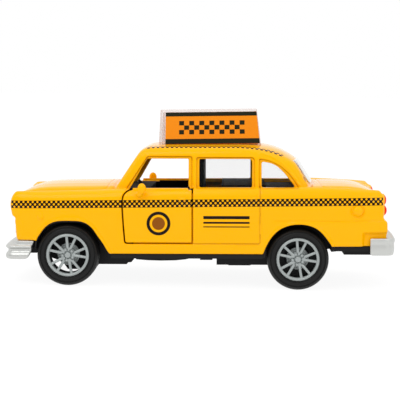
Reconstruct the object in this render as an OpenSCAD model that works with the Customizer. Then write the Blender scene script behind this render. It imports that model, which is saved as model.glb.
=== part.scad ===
// Friction-drive toy taxi with opening front doors and a roof sign.
// Frame: +X towards the tail, +Y towards the right-hand side, +Z up, origin on the ground under the middle.
// Body-mounted pieces are drawn level and then pitched nose-down by rake; wheels and gears are drawn on the ground.

/* [Body] */
// Width over the widest point of the body sides
body_w = 50; // [49.6:0.2:50.4]
// Wall thickness of the die-cast body
wall = 1.2; // [1.1:0.05:1.3]
// Nose-down pitch of the body over its wheels, in degrees
rake = 0.9; // [0.6:0.1:1.2]
// Gap round each opening door
door_gap = 0.42; // [0.38:0.02:0.46]

/* [Wheels] */
// Outside radius of a tyre
tyre_r = 10.1; // [10:0.05:10.2]
// Seat radius between wheel and tyre
rim_r = 7.0; // [6.9:0.05:7.1]
// Distance from the middle plane to a tyre's outer face
track_out = 24.3; // [24.2:0.05:24.4]
// Width of a tyre
tyre_w = 7.4; // [7:0.1:7.6]
// Radius of both axle rods
axle_r = 1.0; // [0.95:0.01:1.02]
// Front axle, distance ahead of the origin
front_axle_x = 43.3; // [43.2:0.1:43.4]
// Rear axle, distance behind the origin
rear_axle_x = 32.1; // [32:0.1:32.2]

/* [Friction drive] */
// Gear module
gear_m = 0.4; // [0.4:0.01:0.4]
// Teeth on the axle gear
axle_teeth = 24; // [24:1:24]
// Teeth on both small pinions
pinion_teeth = 10; // [10:1:10]
// Teeth on the large wheel of the step-up gear
step_teeth = 24; // [24:1:24]
// Radius of the flywheel
flywheel_r = 5.6; // [5.2:0.1:5.7]

/* [Roof sign] */
// Half width of the sign at its foot
sign_foot = 10.5; // [10:0.5:11]
// Half width of the sign at its top
sign_top = 4.2; // [3.6:0.2:4.8]

/* [Hidden] */
$fn = 48;
hw = body_w / 2;

// colours
YEL = "#fbb800"; BLK = "#18181a"; SIL = "#c9ccd0"; GRY = "#7e8889"; RUB = "#242424"; RED = "#e0301e";
CLR = [0.86, 0.9, 0.92, 0.4]; ORG = "#f98c12"; STL = "#b4b7ba"; NYL = "#e9e6dc";

// row frame to body frame and back
module in_body() rotate([0, -rake, 0]) children();
function to_body(x, z) = [x * cos(rake) + z * sin(rake), -x * sin(rake) + z * cos(rake)];
fa = to_body(-front_axle_x, tyre_r);
ra = to_body(rear_axle_x, tyre_r);

// ---- shared outlines, body frame, [x, z]
arch_front = [[-53.5, 15.2], [-53.3, 15.8], [-52, 18], [-50.3, 19.9], [-48.8, 20.9], [-47.3, 21.4], [-45.5, 21.75], [-39.4, 21.75],
  [-37.1, 21.2], [-35, 19.7], [-33.6, 17.8], [-31.6, 15], [-30.1, 12.3], [-29.1, 11.2]];
arch_rear = [[20.8, 11.2], [21.9, 14.1], [23.7, 17.2], [26.2, 19.6], [29.3, 20.9], [32.4, 21.3], [35.7, 20.9], [38.3, 19.8], [40.3, 18],
  [41.9, 15.9], [43.2, 13.9], [43.4, 13.2]];
side_line = concat([[-59.8, 15.7], [-60.2, 16.9], [-60.3, 20.5], [-60.6, 21.7], [-60.3, 23.2], [-61.4, 23.5], [-62, 26], [-62.1, 27.6],
  [-61.6, 29.7], [-60.5, 31.4], [-60, 38], [58.2, 38], [58.9, 31.7], [59.9, 30.5], [60, 23.2], [60.5, 22.3], [61.3, 21.9], [61.4, 18.4],
  [61, 17], [61, 13.9]],
  [for (i = [len(arch_rear) - 2:-1:0]) arch_rear[i]], [for (i = [len(arch_front) - 1:-1:1]) arch_front[i]]);
door_line = [[-22.5, 32.5], [-23.8, 32], [-24.7, 30.8], [-25.2, 29.2], [-25.3, 26.9], [-25, 21.7], [-24.5, 15.2], [-24.2, 14.8],
  [-23.7, 14.6], [-2.2, 14.6], [-2, 14.8], [-2, 32.5]];
front_window = [[-22.9, 31.6], [-16.9, 42.1], [-3.4, 42.2], [-3.4, 31.6]];
rear_window = [[0, 32.95], [0, 42.1], [16.6, 42.1], [17.2, 41.5], [17.2, 33]];
quarter_window = [[20.4, 33], [20.4, 41.3], [22.4, 41], [23.9, 40.6], [25.4, 39.8], [27.6, 37.8], [29.5, 35.4], [31.2, 33.2], [31.1, 33]];
house_line = [[-28.2, 31.4], [-27.1, 33.5], [-19.8, 44.4], [-19.2, 45.2], [-17.8, 46.1], [-16, 48], [22, 48], [26.5, 45.9], [29.3, 43.9],
  [31.2, 42.2], [32.2, 41.3], [36.4, 34.8], [37.8, 32.4], [38.2, 31.4]];

// stations of the lower body: x, half width, crest height, centre height
st = [[-62.3, 21.9, 30.4, 29.2], [-61.2, 22.9, 31.1, 29.9], [-59.6, 23.7, 31.35, 30.6], [-57, 24.2, 31.4, 31.6], [-53.5, 24.5, 31.45, 32.4],
  [-48, 24.8, 31.55, 33.1], [-41, 24.9, 31.7, 33.5], [-32, 25, 31.85, 33.75], [-25, 25, 32.2, 33.4], [-12, 25, 32.5, 33.2],
  [6, 25, 32.7, 33.3], [22, 25, 32.75, 33.4], [34, 25, 32.6, 33.5], [43, 24.9, 32.4, 33.7], [49, 24.7, 32.2, 33.55], [53, 24.5, 32, 32.95],
  [56, 24.2, 31.85, 32], [58, 23.9, 31.7, 30.9], [59.6, 23.5, 31.2, 29.6], [61.5, 22.7, 30, 28]];
function half_ring(w, zc, zh) = [[w - 1.2, 9], [w - 0.85, 11.2], [w - 0.45, 15], [w - 0.12, 19.5], [w, 24], [w - 0.15, 27.5],
  [w - 0.5, zc - 1.9], [w - 1.3, zc - 0.55], [w - 2.6, zc], [w - 4.6, zc - 0.1], [w - 6.4, zc - 0.32], [w - 9.5, zh * 0.75 + zc * 0.25 - 0.25],
  [w - 16, zh - 0.12], [0, zh]];
function full_ring(h) = concat([for (p = h) [-p.x, p.y]], [for (i = [len(h) - 2:-1:0]) h[i]]);
// solid from one closed ring of [y, z] per station
module loft(xs, rings) {
  n = len(rings[0]); m = len(xs);
  pts = [for (i = [0:m - 1]) for (p = rings[i]) [xs[i], p.x, p.y]];
  sides = [for (i = [0:m - 2]) for (j = [0:n - 1]) let (a = i * n + j, b = i * n + (j + 1) % n, c = (i + 1) * n + (j + 1) % n, d = (i + 1) * n + j)
    each [[a, b, c], [a, c, d]]];
  polyhedron(pts, concat([[for (j = [n - 1:-1:0]) j], [for (j = [0:n - 1]) (m - 1) * n + j]], sides), convexity = 6);
}
module tub_loft(inset, drop) {
  s = [for (q = st) if (inset == 0 || (q.x > -60 && q.x < 59)) q];
  loft([for (q = s) q.x], [for (q = s) full_ring([for (p = half_ring(q[1] - hw * 0 + (hw - 25) - inset, q[2] - inset, q[3] - inset)) [p.x, p.y - (p.y < 12 ? drop : 0)]])]);
}
// greenhouse: x, edge height, centre height
gs = [[-28.6, 43.5, 44.3], [-21, 44.4, 45.6], [-17.5, 45.2, 46.3], [-12, 45.3, 46.5], [8, 45.4, 46.55], [14, 45.3, 46.55], [19.6, 44.6, 46.45],
  [22.9, 43.9, 46.2], [25.7, 43, 45.6], [28.3, 42.2, 44.5], [30.4, 41.5, 43.2], [33, 40.4, 41.8], [38.6, 38.2, 39]];
function house_half(e, c, k) = [[21.9 - k, 30.6], [21.7 - k, 33], [21 - k, 37], [19.9 - k, min(41.5, e - 1.4)], [19.1 - k, e - 0.6], [18 - k, e], [15.5 - k, e + (c - e) * 0.42],
  [9, e + (c - e) * 0.82], [0, c]];
module house_loft(k) loft([for (q = gs) q.x], [for (q = gs) full_ring(house_half(q[1] - k, q[2] - k, k))]);
module slab(line, y0, y1) translate([0, y1, 0]) rotate([90, 0, 0]) linear_extrude(y1 - y0) polygon(line);
function grow(line, f, c) = [for (p = line) [(p.x - c.x) * f.x + c.x, (p.y - c.y) * f.y + c.y]];

// ---- body shell
hinge = [-20.6, hw - 2.6];
module screw_boss(x, y, foot, top) translate([x, y, 0]) difference() { translate([0, 0, foot]) cylinder(r = 2.1, h = top - foot); translate([0, 0, 11]) cylinder(r = 0.8, h = 9); }
module body_shell() color(YEL) in_body() {
  difference() {
    union() {
      intersection() { tub_loft(0, 0); slab(side_line, -30, 30); }
      intersection() { house_loft(0); slab(house_line, -30, 30); }
    }
    difference() {
      tub_loft(wall, 4);
      translate([-70, -30, 0]) cube([11.3, 60, 60]);
      translate([58.3, -30, 0]) cube([11, 60, 60]);
    }
    intersection() { house_loft(wall); slab([[-26.3, 30], [-26, 33], [-18.5, 44.2], [-17, 48], [27, 48], [30.4, 41.6], [35.6, 33.4], [35.8, 30]], -30, 30); }
    // cabin opening through the deck, windscreen and rear window
    translate([-25.4, -19.6, 28]) cube([60.4, 39.2, 8]);
    slab_y([[-34, 34.7], [-24.4, 34.7], [-18.6, 43.4], [-24, 47]], 17.2);
    slab_y([[29.9, 41], [34.2, 34.8], [44, 34.8], [40, 43.5]], 16.6);
    // side windows and door openings
    for (s = [-1, 1]) scale_y(s) {
      slab(front_window, 12, 30);
      slab(rear_window, 12, 30);
      slab(quarter_window, 12, 30);
      slab(door_line, 17, 30);
      // swing clearance for the front edge of the door, leaving a thin lip
      translate([hinge.x, hinge.y, 14.2]) intersection() { cylinder(r = 5.9, h = 18.2); translate([-8, -8, 0]) cube([8, 9.75, 19]); }
      // shelf behind the bumper end
      translate([53, hw - 1.5, 10]) cube([12, 4, 8.4]);
    }
    // recess for the grille and the lamps
    translate([-64, -21, 17.4]) cube([4.2, 42, 12.8]);
    // sign pegs
    for (x = [-9, 15]) translate([x, 0, 42]) cylinder(r = 1.3, h = 8);
  }
  screw_boss(-52, 0, 12.62, 32.2);
  screw_boss(50, 0, 13.72, 33);
  // fuel cap, cast in
  translate([51.3, -hw + 0.9, 25.3]) rotate([90, 0, 0]) cylinder(r = 1.45, h = 1.1);
}
module scale_y(s) mirror([0, s < 0 ? 1 : 0, 0]) children();
module slab_y(line, half) slab(line, -half, half);

// ---- doors: outer skin cut from the body form, with a hinge knuckle and a wing mirror
door_in = [for (p = door_line) [p.x + (p.x < -13 ? door_gap : -door_gap), p.y + (p.y < 20 ? door_gap : 0)]];
module door() {
  difference() {
    union() {
      intersection() {
        difference() { tub_loft(0, 0); tub_loft(1.1, 4); }
        slab(concat([door_in[0]], [for (i = [1:len(door_in) - 1]) door_in[i]]), 20.6, 30);
      }
      translate([hinge.x, hinge.y, 18.7]) cylinder(r = 0.98, h = 8.3);
      translate([hinge.x - 0.8, hinge.y, 18.7]) cube([1.9, 1.8, 8.3]);
    }
    translate([hinge.x, hinge.y, 12]) cylinder(r = 0.63, h = 22);
  }
  // wing mirror on its stalk
  hull() {
    translate([-18.5, hw + 3.1, 33]) rotate([90, 0, 0]) cylinder(r = 1.85, h = 1.6, $fn = 28);
    translate([-18.9, hw - 0.6, 31.1]) sphere(r = 0.9, $fn = 24);
  }
}
module left_front_door() color(YEL) in_body() mirror([0, 1, 0]) door();
module right_front_door() color(YEL) in_body() door();
module hinge_pin(s) color(STL) in_body() translate([hinge.x, s * hinge.y, 16.1]) cylinder(r = 0.6, h = 13.4);
module left_door_hinge_pin() hinge_pin(-1);
module right_door_hinge_pin() hinge_pin(1);

// ---- chassis
module liner(line, y0, y1, f, c) difference() {
  slab(grow(line, [f, f], c), y0, y1);
  slab(line, y0 + 1, y1 + 1);
}
pan = [[-57.6, 11.2], [-57.6, 14.6], [-54.6, 14.6], [-53.6, 12.2], [-49.5, 12.2], [-49.5, 9.9], [-42.8, 9.9], [-42.8, 9.4], [-34.2, 9.4], [-22, 9.4], [-20.9, 8.9],
  [-17, 8.5], [-12.8, 8.4], [-8, 8.55], [-4.6, 8.9], [-1.5, 9.65], [-0.2, 9.65], [0.1, 8.6], [4.1, 8.6], [4.3, 9.7], [20.6, 9.7], [20.6, 11.1], [-28.5, 11.1], [-30, 13.2], [-56, 16]];
module chassis_base() color(BLK) in_body() difference() {
  union() {
    // floor pan inside the sills
    translate([-29, -hw + 1.7, 9.7]) cube([49.8, 2 * hw - 3.4, 1.4]);
    // belly, curved along its length, and the small block behind it
    slab([[-22, 9.8], [-20.9, 8.8], [-17, 8.5], [-12.8, 8.4], [-8, 8.5], [-4.6, 8.85], [-1.5, 9.6], [-1.5, 9.8]], -19, 19);
    translate([0.1, -17, 8.4]) cube([4.1, 34, 1.4]);
    // front block that carries the front axle
    slab([[-50.5, 11], [-50.5, 8.6], [-46.4, 7.2], [-44.6, 4.6], [-35.4, 4.6], [-34.2, 6.3], [-24.7, 6.3], [-24.2, 6.9], [-23.1, 7], [-20.9, 9.8], [-20.9, 11]], -13, 13);
    // front floor and nose support
    translate([-57.4, -15.4, 11]) cube([28.6, 30.8, 1.6]);
    translate([-58.2, -20, 12.6]) cube([3.4, 40, 1.5]);
    translate([-57.4, -20.2, 11]) cube([3.6, 40.4, 1.8]);
    // rear floor and tail block
    translate([37.8, -15.4, 12.2]) cube([18.6, 30.8, 1.5]);
    translate([43.6, -hw + 2.3, 12.2]) cube([13, 2 * hw - 4.6, 1.5]);
    translate([47.6, -19, 10.6]) cube([9.4, 38, 1.7]);
    // motor bay side rails
    for (s = [-1, 1]) translate([20.5, s > 0 ? 12.3 : -15.4, 9.7]) cube([17.6, 3.1, 4]);
    // wheel wells
    for (s = [-1, 1]) scale_y(s) {
      difference() {
        slab(concat([[-54, 12.6], [-54, 16]], grow([for (i = [2:len(arch_front) - 3]) arch_front[i]], [1.05, 1.1], [-42.4, 12]), [[-30.6, 14.2], [-29.2, 11]]), 14.2, hw - 2);
        slab(concat([[-55, 8], [-53.2, 15.4]], [for (i = [2:len(arch_front) - 2]) [arch_front[i].x * 0.99 - 0.42, arch_front[i].y - 0.25]], [[-28.6, 8]]), 15.4, hw);
        slab([[-48, 8], [-48, 10.9], [-38, 10.9], [-38, 8]], 14, hw);
      }
      difference() {
        slab(concat([[20.4, 9.8], [20.4, 12.4]], grow([for (i = [1:len(arch_rear) - 2]) arch_rear[i]], [1.06, 1.09], [32.3, 12]), [[44.6, 13.7], [44.6, 12.2]]), 14.2, hw - 2);
        slab(concat([[21.3, 8]], [for (i = [1:len(arch_rear) - 2]) [arch_rear[i].x * 0.99 + 0.32, arch_rear[i].y - 0.25]], [[43.2, 8]]), 15.4, hw);
      }
    }
    // posts up to the body's screw bosses
    translate([-52, 0, 8.6]) cylinder(r = 3, h = 3);
    translate([50, 0, 10.6]) cylinder(r = 3, h = 2);
  }
  // front axle bore, motor opening, well for the rear axle and screw holes
  translate([fa.x, 30, fa.y]) rotate([90, 0, 0]) cylinder(r = axle_r + 0.04, h = 60);
  translate([5.4, -11.02, 4]) cube([33.3, 22.04, 22]);
  for (s = [-1, 1]) translate([13, s * 12.4, 8]) cylinder(r = 0.75, h = 4);
  translate([ra.x, 30, ra.y]) rotate([90, 0, 0]) cylinder(r = 1.8, h = 60);
  for (p = [[-52, 0], [50, 0]]) translate([p.x, p.y, 5]) { cylinder(r = 1.2, h = 12); cylinder(r = 2.2, h = p.x < 0 ? 5.6 : 6.9); }
}

// ---- interior
module seat(x, w, h, back) {
  translate([x, -w / 2, 12.8]) cube([9, w, h - 12.8]);
  hull() { translate([x + 7, -w / 2, h - 1]) cube([2.2, w, 1]); translate([x + 8.6, -w / 2, back - 1]) cube([1.6, w, 1]); }
}
module interior_tub() color(BLK) in_body() difference() {
  union() {
    translate([-24.5, -18.4, 22.9]) cube([40, 36.8, 1.1]);
    // door cards beside the front seats
    for (s = [-1, 1]) translate([-17.4, s > 0 ? 18.1 : -19.3, 22.9]) cube([15, 1.2, 9]);
    // dashboard and bulkhead
    translate([-24.6, -15.6, 22.9]) cube([1.8, 31.2, 9]);
    translate([-23.2, -15.6, 28.8]) cube([2.4, 31.2, 3.3]);
    // partition behind the front seats
    translate([-1.8, -14, 23]) cube([3.1, 28, 18.9]);
    // front seats
    for (s = [-1, 1]) translate([0, s * 8, 0]) { translate([-12.5, -6, 23.9]) cube([9, 12, 2.2]); translate([-4.2, -6, 23.9]) cube([2.5, 12, 8.6]); }
    // rear bench with its shelf
    translate([7.2, -16.4, 22.9]) cube([14.6, 32.8, 10.4]);
    translate([21.6, -16.4, 30.6]) cube([11, 32.8, 1.3]);
    // lugs for the door hinge pins
    for (s = [-1, 1]) scale_y(s) for (z = [16.4, 27.3]) {
      translate([hinge.x, hinge.y, z]) cylinder(r = 0.95, h = 2);
      translate([hinge.x - 0.95, 17, z]) cube([1.9, hinge.y - 17, 2]);
    }
    for (s = [-1, 1]) scale_y(s) translate([hinge.x - 0.95, 16.4, 16.4]) cube([2.6, 1.8, 12.9]);
    // legs down to the chassis floor
    for (x = [-16, 3]) for (s = [-1, 1]) translate([x, s * 12.5, 11.1]) cylinder(r = 1.6, h = 12.4);
    // steering column boss
    translate([-21.6, -8, 30.2]) rotate([0, 62, 0]) cylinder(r = 1.1, h = 2.6);
  }
  for (s = [-1, 1]) translate([hinge.x, s * hinge.y, 15]) cylinder(r = 0.6, h = 17);
  // pocket that keeps the bench hollow below
  translate([8.3, -15.2, 22]) cube([12.2, 30.4, 9.8]);
}
module steering_wheel() color(BLK) in_body() translate([-19.3, -8, 31.45]) rotate([0, 62, 0]) {
  rotate_extrude() translate([3.1, 0]) circle(r = 0.42, $fn = 20);
  cylinder(r = 0.9, h = 0.7);
  for (a = [90, 210, 330]) rotate([0, 0, a]) translate([0.5, -0.35, 0.05]) cube([2.5, 0.7, 0.5]);
}

// ---- glazing: one clear moulding under the roof
module window_glazing() color(CLR) in_body() difference() {
  intersection() { house_loft(wall + 0.02); slab([[-26.2, 31.2], [-26, 33], [-18.45, 44.2], [-17, 48], [27, 48], [30.3, 41.6], [35.5, 33.4], [35.7, 31.2]], -30, 30); }
  intersection() { house_loft(wall + 1.05); slab([[-24.9, 30], [-24.8, 33], [-17.4, 43.9], [-16, 48], [26.5, 48], [29.2, 41.4], [34.2, 33.4], [34.4, 30]], -30, 30); }
  // open front door windows and the doorway below
  for (s = [-1, 1]) scale_y(s) slab([[-24.4, 29], [-16.4, 43], [-2.6, 43], [-2.6, 29]], 14, 30);
  for (x = [-9, 15]) translate([x, 0, 42]) cylinder(r = 1.3, h = 8);
  // room for the deck edge
  translate([-40, -30, 29]) cube([80, 60, 3.2]);
}

// ---- roof sign
sign_x = 3.3;
module in_sign() translate([sign_x, 0, 46]) rotate([0, -0.7, 0]) translate([-sign_x, 0, 0]) children();
sign_end = [[-13.8, 0], [-13, 12.2], [19.3, 12.2], [20.4, 0]];
module sign_solid(i) {
  a = sign_foot - i; b = sign_top - i;
  intersection() {
    translate([-20, 0, 0]) rotate([90, 0, 90]) linear_extrude(50) polygon([[-a, -0.05], [-a, 0.6], [-b, 12.2 - i], [b, 12.2 - i], [a, 0.6], [a, -0.05]]);
    slab([[-13.8 + i, -1], [-13.8 + i, 0], [-13 + i, 12.2], [19.3 - i, 12.2], [20.4 - i, 0], [20.4 - i, -1]], -20, 20);
  }
}
module roof_sign_housing() color(CLR) in_body() difference() {
  union() {
    in_sign() difference() { sign_solid(0); difference() { sign_solid(1); translate([-20, -20, -2]) cube([50, 40, 2.9]); } }
    for (x = [-9, 15]) translate([x, 0, 43.5]) cylinder(r = 1.25, h = 3.2);
  }
  // foot is cut to the crown of the roof
  difference() { house_loft(0); for (x = [-9, 15]) translate([x, 0, 40]) cylinder(r = 1.3, h = 9); }
}
lean = atan2(sign_foot - sign_top, 11.6);
module sign_panel() in_body() in_sign() translate([0, -sign_foot - 0.02, 0.6]) rotate([-lean, 0, 0])
  translate([0, 0, 0]) rotate([90, 0, 0]) linear_extrude(0.25) polygon([[-11.3, 0.35], [-11.3, 12.45], [19.15, 12.45], [20.05, 0.35]]);
module left_sign_panel() color(ORG) sign_panel();
module right_sign_panel() color(ORG) mirror([0, 1, 0]) sign_panel();

// ---- bumpers: bowed bar in plan, [x, y] going round one half
function bar(xe, xs, xm, y1, r) = concat([[xs, y1], [xe - sign(xe) * r, y1]], [for (a = [15:15:75]) [xe - sign(xe) * r + sign(xe) * r * sin(a), y1 - r + r * cos(a)]],
  [[xe, y1 - r], [xe + (xm - xe) * 0.55, y1 * 0.45], [xm, 0]]);
function both(h) = concat(h, [for (i = [len(h) - 2:-1:0]) [h[i].x, -h[i].y]]);
module bar_solid(xe, xs, xm, y1, r, t, z0, z1) translate([0, 0, z0]) linear_extrude(z1 - z0) difference() {
  polygon(both(bar(xe, xs, xm, y1, r)));
  polygon(both([for (p = bar(xe - sign(xe) * t, xs - sign(xe) * 3, xm - sign(xe) * t, y1 - t, max(0.6, r - t))) p]));
}
module front_bumper() color(SIL) in_body() union() {
    bar_solid(-63.5, -55.3, -64.3, 24.1, 3.2, 1.4, 10.6, 12.9);
    bar_solid(-64.1, -54.9, -64.9, 24.4, 3.4, 2, 12.7, 13.8);
    bar_solid(-64.1, -56.3, -64.9, 24.4, 3.4, 2, 9.5, 10.9);
    bar_solid(-60.7, -53.9, -61.5, 23.5, 2, 1.3, 13.7, 15.5);
    translate([-62.6, -20, 13.7]) cube([2.5, 40, 0.5]);
    for (s = [-1, 1]) translate([-63, s * 9 - 2, 11.4]) cube([4.8, 4, 1.8]);
}
module rear_bumper() color(SIL) in_body() union() {
  bar_solid(63.6, 55.6, 64.6, 24.35, 3.4, 0.82, 11, 15.4);
  bar_solid(64.1, 55.6, 65.1, 24.45, 3.6, 0.92, 15.2, 16.6);
  for (s = [-1, 1]) translate([56.65, s * 9 - 2, 12.2]) cube([6.9, 4, 1.6]);
}

// ---- grille and lamps
lamp_y = [12.6, 18.2];
module radiator_grille() color(SIL) in_body() difference() {
  union() {
    translate([-60.7, -20.8, 17.6]) cube([0.88, 41.6, 12.4]);
    for (s = [-1, 1]) for (y = lamp_y) translate([-61.7, s * y, 26.6]) rotate([0, 90, 0]) cylinder(r = 2.7, h = 1.9);
    for (i = [0:5]) translate([-61.4, -8.8, 18.3 + i * 1.95]) cube([1, 17.6, 0.8]);
    translate([-61.5, -9.6, 17.6]) cube([1, 19.2, 0.9]);
    translate([-61.5, -9.6, 29.1]) cube([1, 19.2, 0.9]);
  }
  for (s = [-1, 1]) for (y = lamp_y) translate([-63, s * y, 26.6]) rotate([0, 90, 0]) cylinder(r = 2.1, h = 2.6);
}
module headlamp_lenses() color(CLR) in_body() for (s = [-1, 1]) for (y = lamp_y) translate([-60.4, s * y, 26.6]) rotate([0, -90, 0]) difference() {
  union() { cylinder(r = 2.05, h = 1.1); intersection() { translate([0, 0, -2.2]) sphere(r = 4); cylinder(r = 2.05, h = 3); } }
  translate([0, 0, -9]) cube([9, 9, 18], center = true);
}
module tail_lamps() in_body() difference() {
  for (z = [28.8, 25.4]) translate([59.6, 19.4, z]) rotate([0, 90, 0]) { cylinder(r = 1.7, h = 0.9); translate([0, 0, 0.9]) intersection() { translate([0, 0, -1.2]) sphere(r = 2.08); cylinder(r = 1.7, h = 2); } }
  translate([50, 10, 20]) cube([10.05, 20, 14]);
}
module left_tail_lamps() color(RED) mirror([0, 1, 0]) tail_lamps();
module right_tail_lamps() color(RED) tail_lamps();

// ---- wheels, drawn about the Y axis with the outer face towards +Y at y = 0
module wheel_disc() {
  seat = rim_r;
  rotate([-90, 0, 0]) {
    // barrel with a bead at each side
    rotate_extrude($fn = 72) polygon([[seat - 0.75, -6.9], [seat, -6.9], [seat, -0.35], [seat - 0.25, -0.1], [seat - 0.7, -0.1], [seat - 0.8, -1], [seat - 0.8, -6.9]]);
    difference() {
      union() {
        translate([0, 0, -1.9]) cylinder(r = 2.7, h = 1.3);
        translate([0, 0, -5.2]) cylinder(r = 2, h = 4);
        translate([0, 0, -3.9]) cylinder(r = 3.6, h = 0.7);
        for (i = [0:4]) for (s = [-1, 1]) rotate([0, 0, i * 72 + s * 13]) translate([2, -0.42, -1.7]) cube([seat - 2.6, 0.84, 1.1]);
        translate([0, 0, -0.65]) cylinder(r = 1.05, h = 0.4);
        for (i = [0:4]) rotate([0, 0, i * 72 + 36]) translate([1.85, 0, -0.65]) cylinder(r = 0.48, h = 0.35, $fn = 20);
      }
      translate([0, 0, -6]) cylinder(r = axle_r, h = 4);
    }
  }
}
module tyre_ring() rotate([-90, 0, 0]) rotate_extrude($fn = 96) polygon([[rim_r, -tyre_w + 0.3], [rim_r + 0.5, -tyre_w], [tyre_r - 0.9, -tyre_w], [tyre_r, -tyre_w + 0.9],
  [tyre_r, -0.9], [tyre_r - 0.9, 0], [rim_r + 0.6, 0], [rim_r, -0.35]]);
module at_wheel(x, s) translate([x, s * track_out, tyre_r]) scale_y(s) children();
module front_left_wheel() color(GRY) at_wheel(-front_axle_x, -1) wheel_disc();
module front_right_wheel() color(GRY) at_wheel(-front_axle_x, 1) wheel_disc();
module rear_left_wheel() color(GRY) at_wheel(rear_axle_x, -1) wheel_disc();
module rear_right_wheel() color(GRY) at_wheel(rear_axle_x, 1) wheel_disc();
module front_left_tyre() color(RUB) at_wheel(-front_axle_x, -1) tyre_ring();
module front_right_tyre() color(RUB) at_wheel(-front_axle_x, 1) tyre_ring();
module rear_left_tyre() color(RUB) at_wheel(rear_axle_x, -1) tyre_ring();
module rear_right_tyre() color(RUB) at_wheel(rear_axle_x, 1) tyre_ring();
module rod(x, z, r, y0, y1) translate([x, y1, z]) rotate([90, 0, 0]) cylinder(r = r, h = y1 - y0);
module front_axle() color(STL) rod(-front_axle_x, tyre_r, axle_r, -track_out + 2, track_out - 2);
module rear_axle() color(STL) rod(rear_axle_x, tyre_r, axle_r, -track_out + 2, track_out - 2);

// ---- friction drive: axle gear, step-up gear, flywheel
d1 = gear_m * (axle_teeth + pinion_teeth) / 2;
d2 = gear_m * (step_teeth + pinion_teeth) / 2;
a1 = 149; a2 = 171;
pa = [rear_axle_x, tyre_r];
pb = [pa.x + d1 * cos(a1), pa.y + d1 * sin(a1)];
pc = [pb.x + d2 * cos(a2), pb.y + d2 * sin(a2)];
function inva(a) = tan(a) * 180 / PI - a;
function flank(r, rp, rb, half) = half + inva(20) - (r > rb ? inva(acos(rb / r)) : 0);
function gear_points(z, add, ded, slack, first) = let (rp = gear_m * z / 2, rb = rp * cos(20), rt = rp + add * gear_m, rr = rp - ded * gear_m,
    half = 90 / z - slack / rp * 90 / PI, lo = max(rb, rr), rs = [for (i = [0:4]) lo + (rt - lo) * i / 4])
  [for (t = [0:z - 1]) let (c = first + t * 360 / z)
    each concat([let (a = c - flank(lo, rp, rb, half) * (rr < rb ? 0.86 : 1.04)) rr * [cos(a), sin(a)]],
      [for (r = rs) let (a = c - flank(r, rp, rb, half)) r * [cos(a), sin(a)]],
      [for (i = [4:-1:0]) let (r = rs[i], a = c + flank(r, rp, rb, half)) r * [cos(a), sin(a)]],
      [let (a = c + flank(lo, rp, rb, half) * (rr < rb ? 0.86 : 1.04)) rr * [cos(a), sin(a)]])];
module gear(p, y0, y1, z, add, first, bore) translate([p.x, y1, p.y]) rotate([90, 0, 0]) difference() {
  linear_extrude(y1 - y0) polygon(gear_points(z, add, 1.2, 0.07, first));
  translate([0, 0, -1]) cylinder(r = bore, h = y1 - y0 + 2);
}
shaft_r = 0.75;
module axle_gear() color(NYL) union() {
  gear(pa, 3.2, 5.4, axle_teeth, 0.85, a1, axle_r);
  difference() { rod(pa.x, pa.y, 2.2, 5.4, 7.2); rod(pa.x, pa.y, axle_r, 5, 8); }
}
module step_up_gear() color(NYL) union() {
  gear(pb, 3, 5.6, pinion_teeth, 0.9, a1 + 180 + 180 / pinion_teeth, shaft_r);
  gear(pb, 0.8, 3, step_teeth, 0.85, a2, shaft_r);
}
module step_up_shaft() color(STL) rod(pb.x, pb.y, shaft_r, -10, 10);
module flywheel_pinion() color(NYL) gear(pc, 0.4, 3.3, pinion_teeth, 0.9, a2 + 180 + 180 / pinion_teeth, shaft_r);
module flywheel() color(STL) difference() {
  union() { rod(pc.x, pc.y, flywheel_r, -7.4, -3); rod(pc.x, pc.y, 2.2, -3, -1); }
  rod(pc.x, pc.y, shaft_r, -9, 1);
}
module flywheel_shaft() color(STL) rod(pc.x, pc.y, shaft_r, -10, 10);

// casing, body frame: open towards +Y, closed by the cover plate
case_line = [[5.5, 5.95], [9.3, 5.95], [9.6, 5.75], [16.8, 5.75], [17.1, 5.95], [24.4, 5.95], [27.2, 3.1], [36.8, 3.1], [38.5, 5.6], [38.5, 21.9], [5.5, 21.9]];
case_hole = [[6.6, 7.1], [24.9, 7.1], [27.8, 4.1], [36.2, 4.1], [37.6, 6.4], [37.6, 20.8], [6.6, 20.8]];
module shaft_bores(y0, y1) {
  rod(pa.x, pa.y, axle_r + 0.04, y0, y1);
  rod(pb.x, pb.y, shaft_r + 0.04, max(y0, -10.2), min(y1, 10.2));
  rod(pc.x, pc.y, shaft_r + 0.04, max(y0, -10.2), min(y1, 10.2));
}
module motor_case() color(BLK) difference() {
  in_body() union() {
    difference() { slab(case_line, -11, 9.4); slab(case_hole, -9.6, 12); }
    for (x = [8.4, 35]) translate([x - 1.7, 2.4, 17.1]) cube([3.4, 7, 4]);
    translate([7, -13.6, 11.12]) cube([12, 2.8, 1.2]);
  }
  shaft_bores(-12, -9);
  in_body() for (p = [[8.4, 18.8], [35, 18.8]]) translate([p.x, 12, p.y]) rotate([90, 0, 0]) cylinder(r = 0.7, h = 8);
  in_body() translate([13, -12.4, 10]) cylinder(r = 0.6, h = 4);
}
module motor_cover() color(BLK) difference() {
  in_body() union() { slab(case_line, 9.4, 11); translate([7, 10.8, 11.12]) cube([12, 2.8, 1.2]); }
  shaft_bores(9, 12);
  in_body() for (p = [[8.4, 18.8], [35, 18.8]]) translate([p.x, 12, p.y]) rotate([90, 0, 0]) cylinder(r = 0.95, h = 4);
  in_body() translate([13, 12.4, 10]) cylinder(r = 0.6, h = 4);
}

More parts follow.
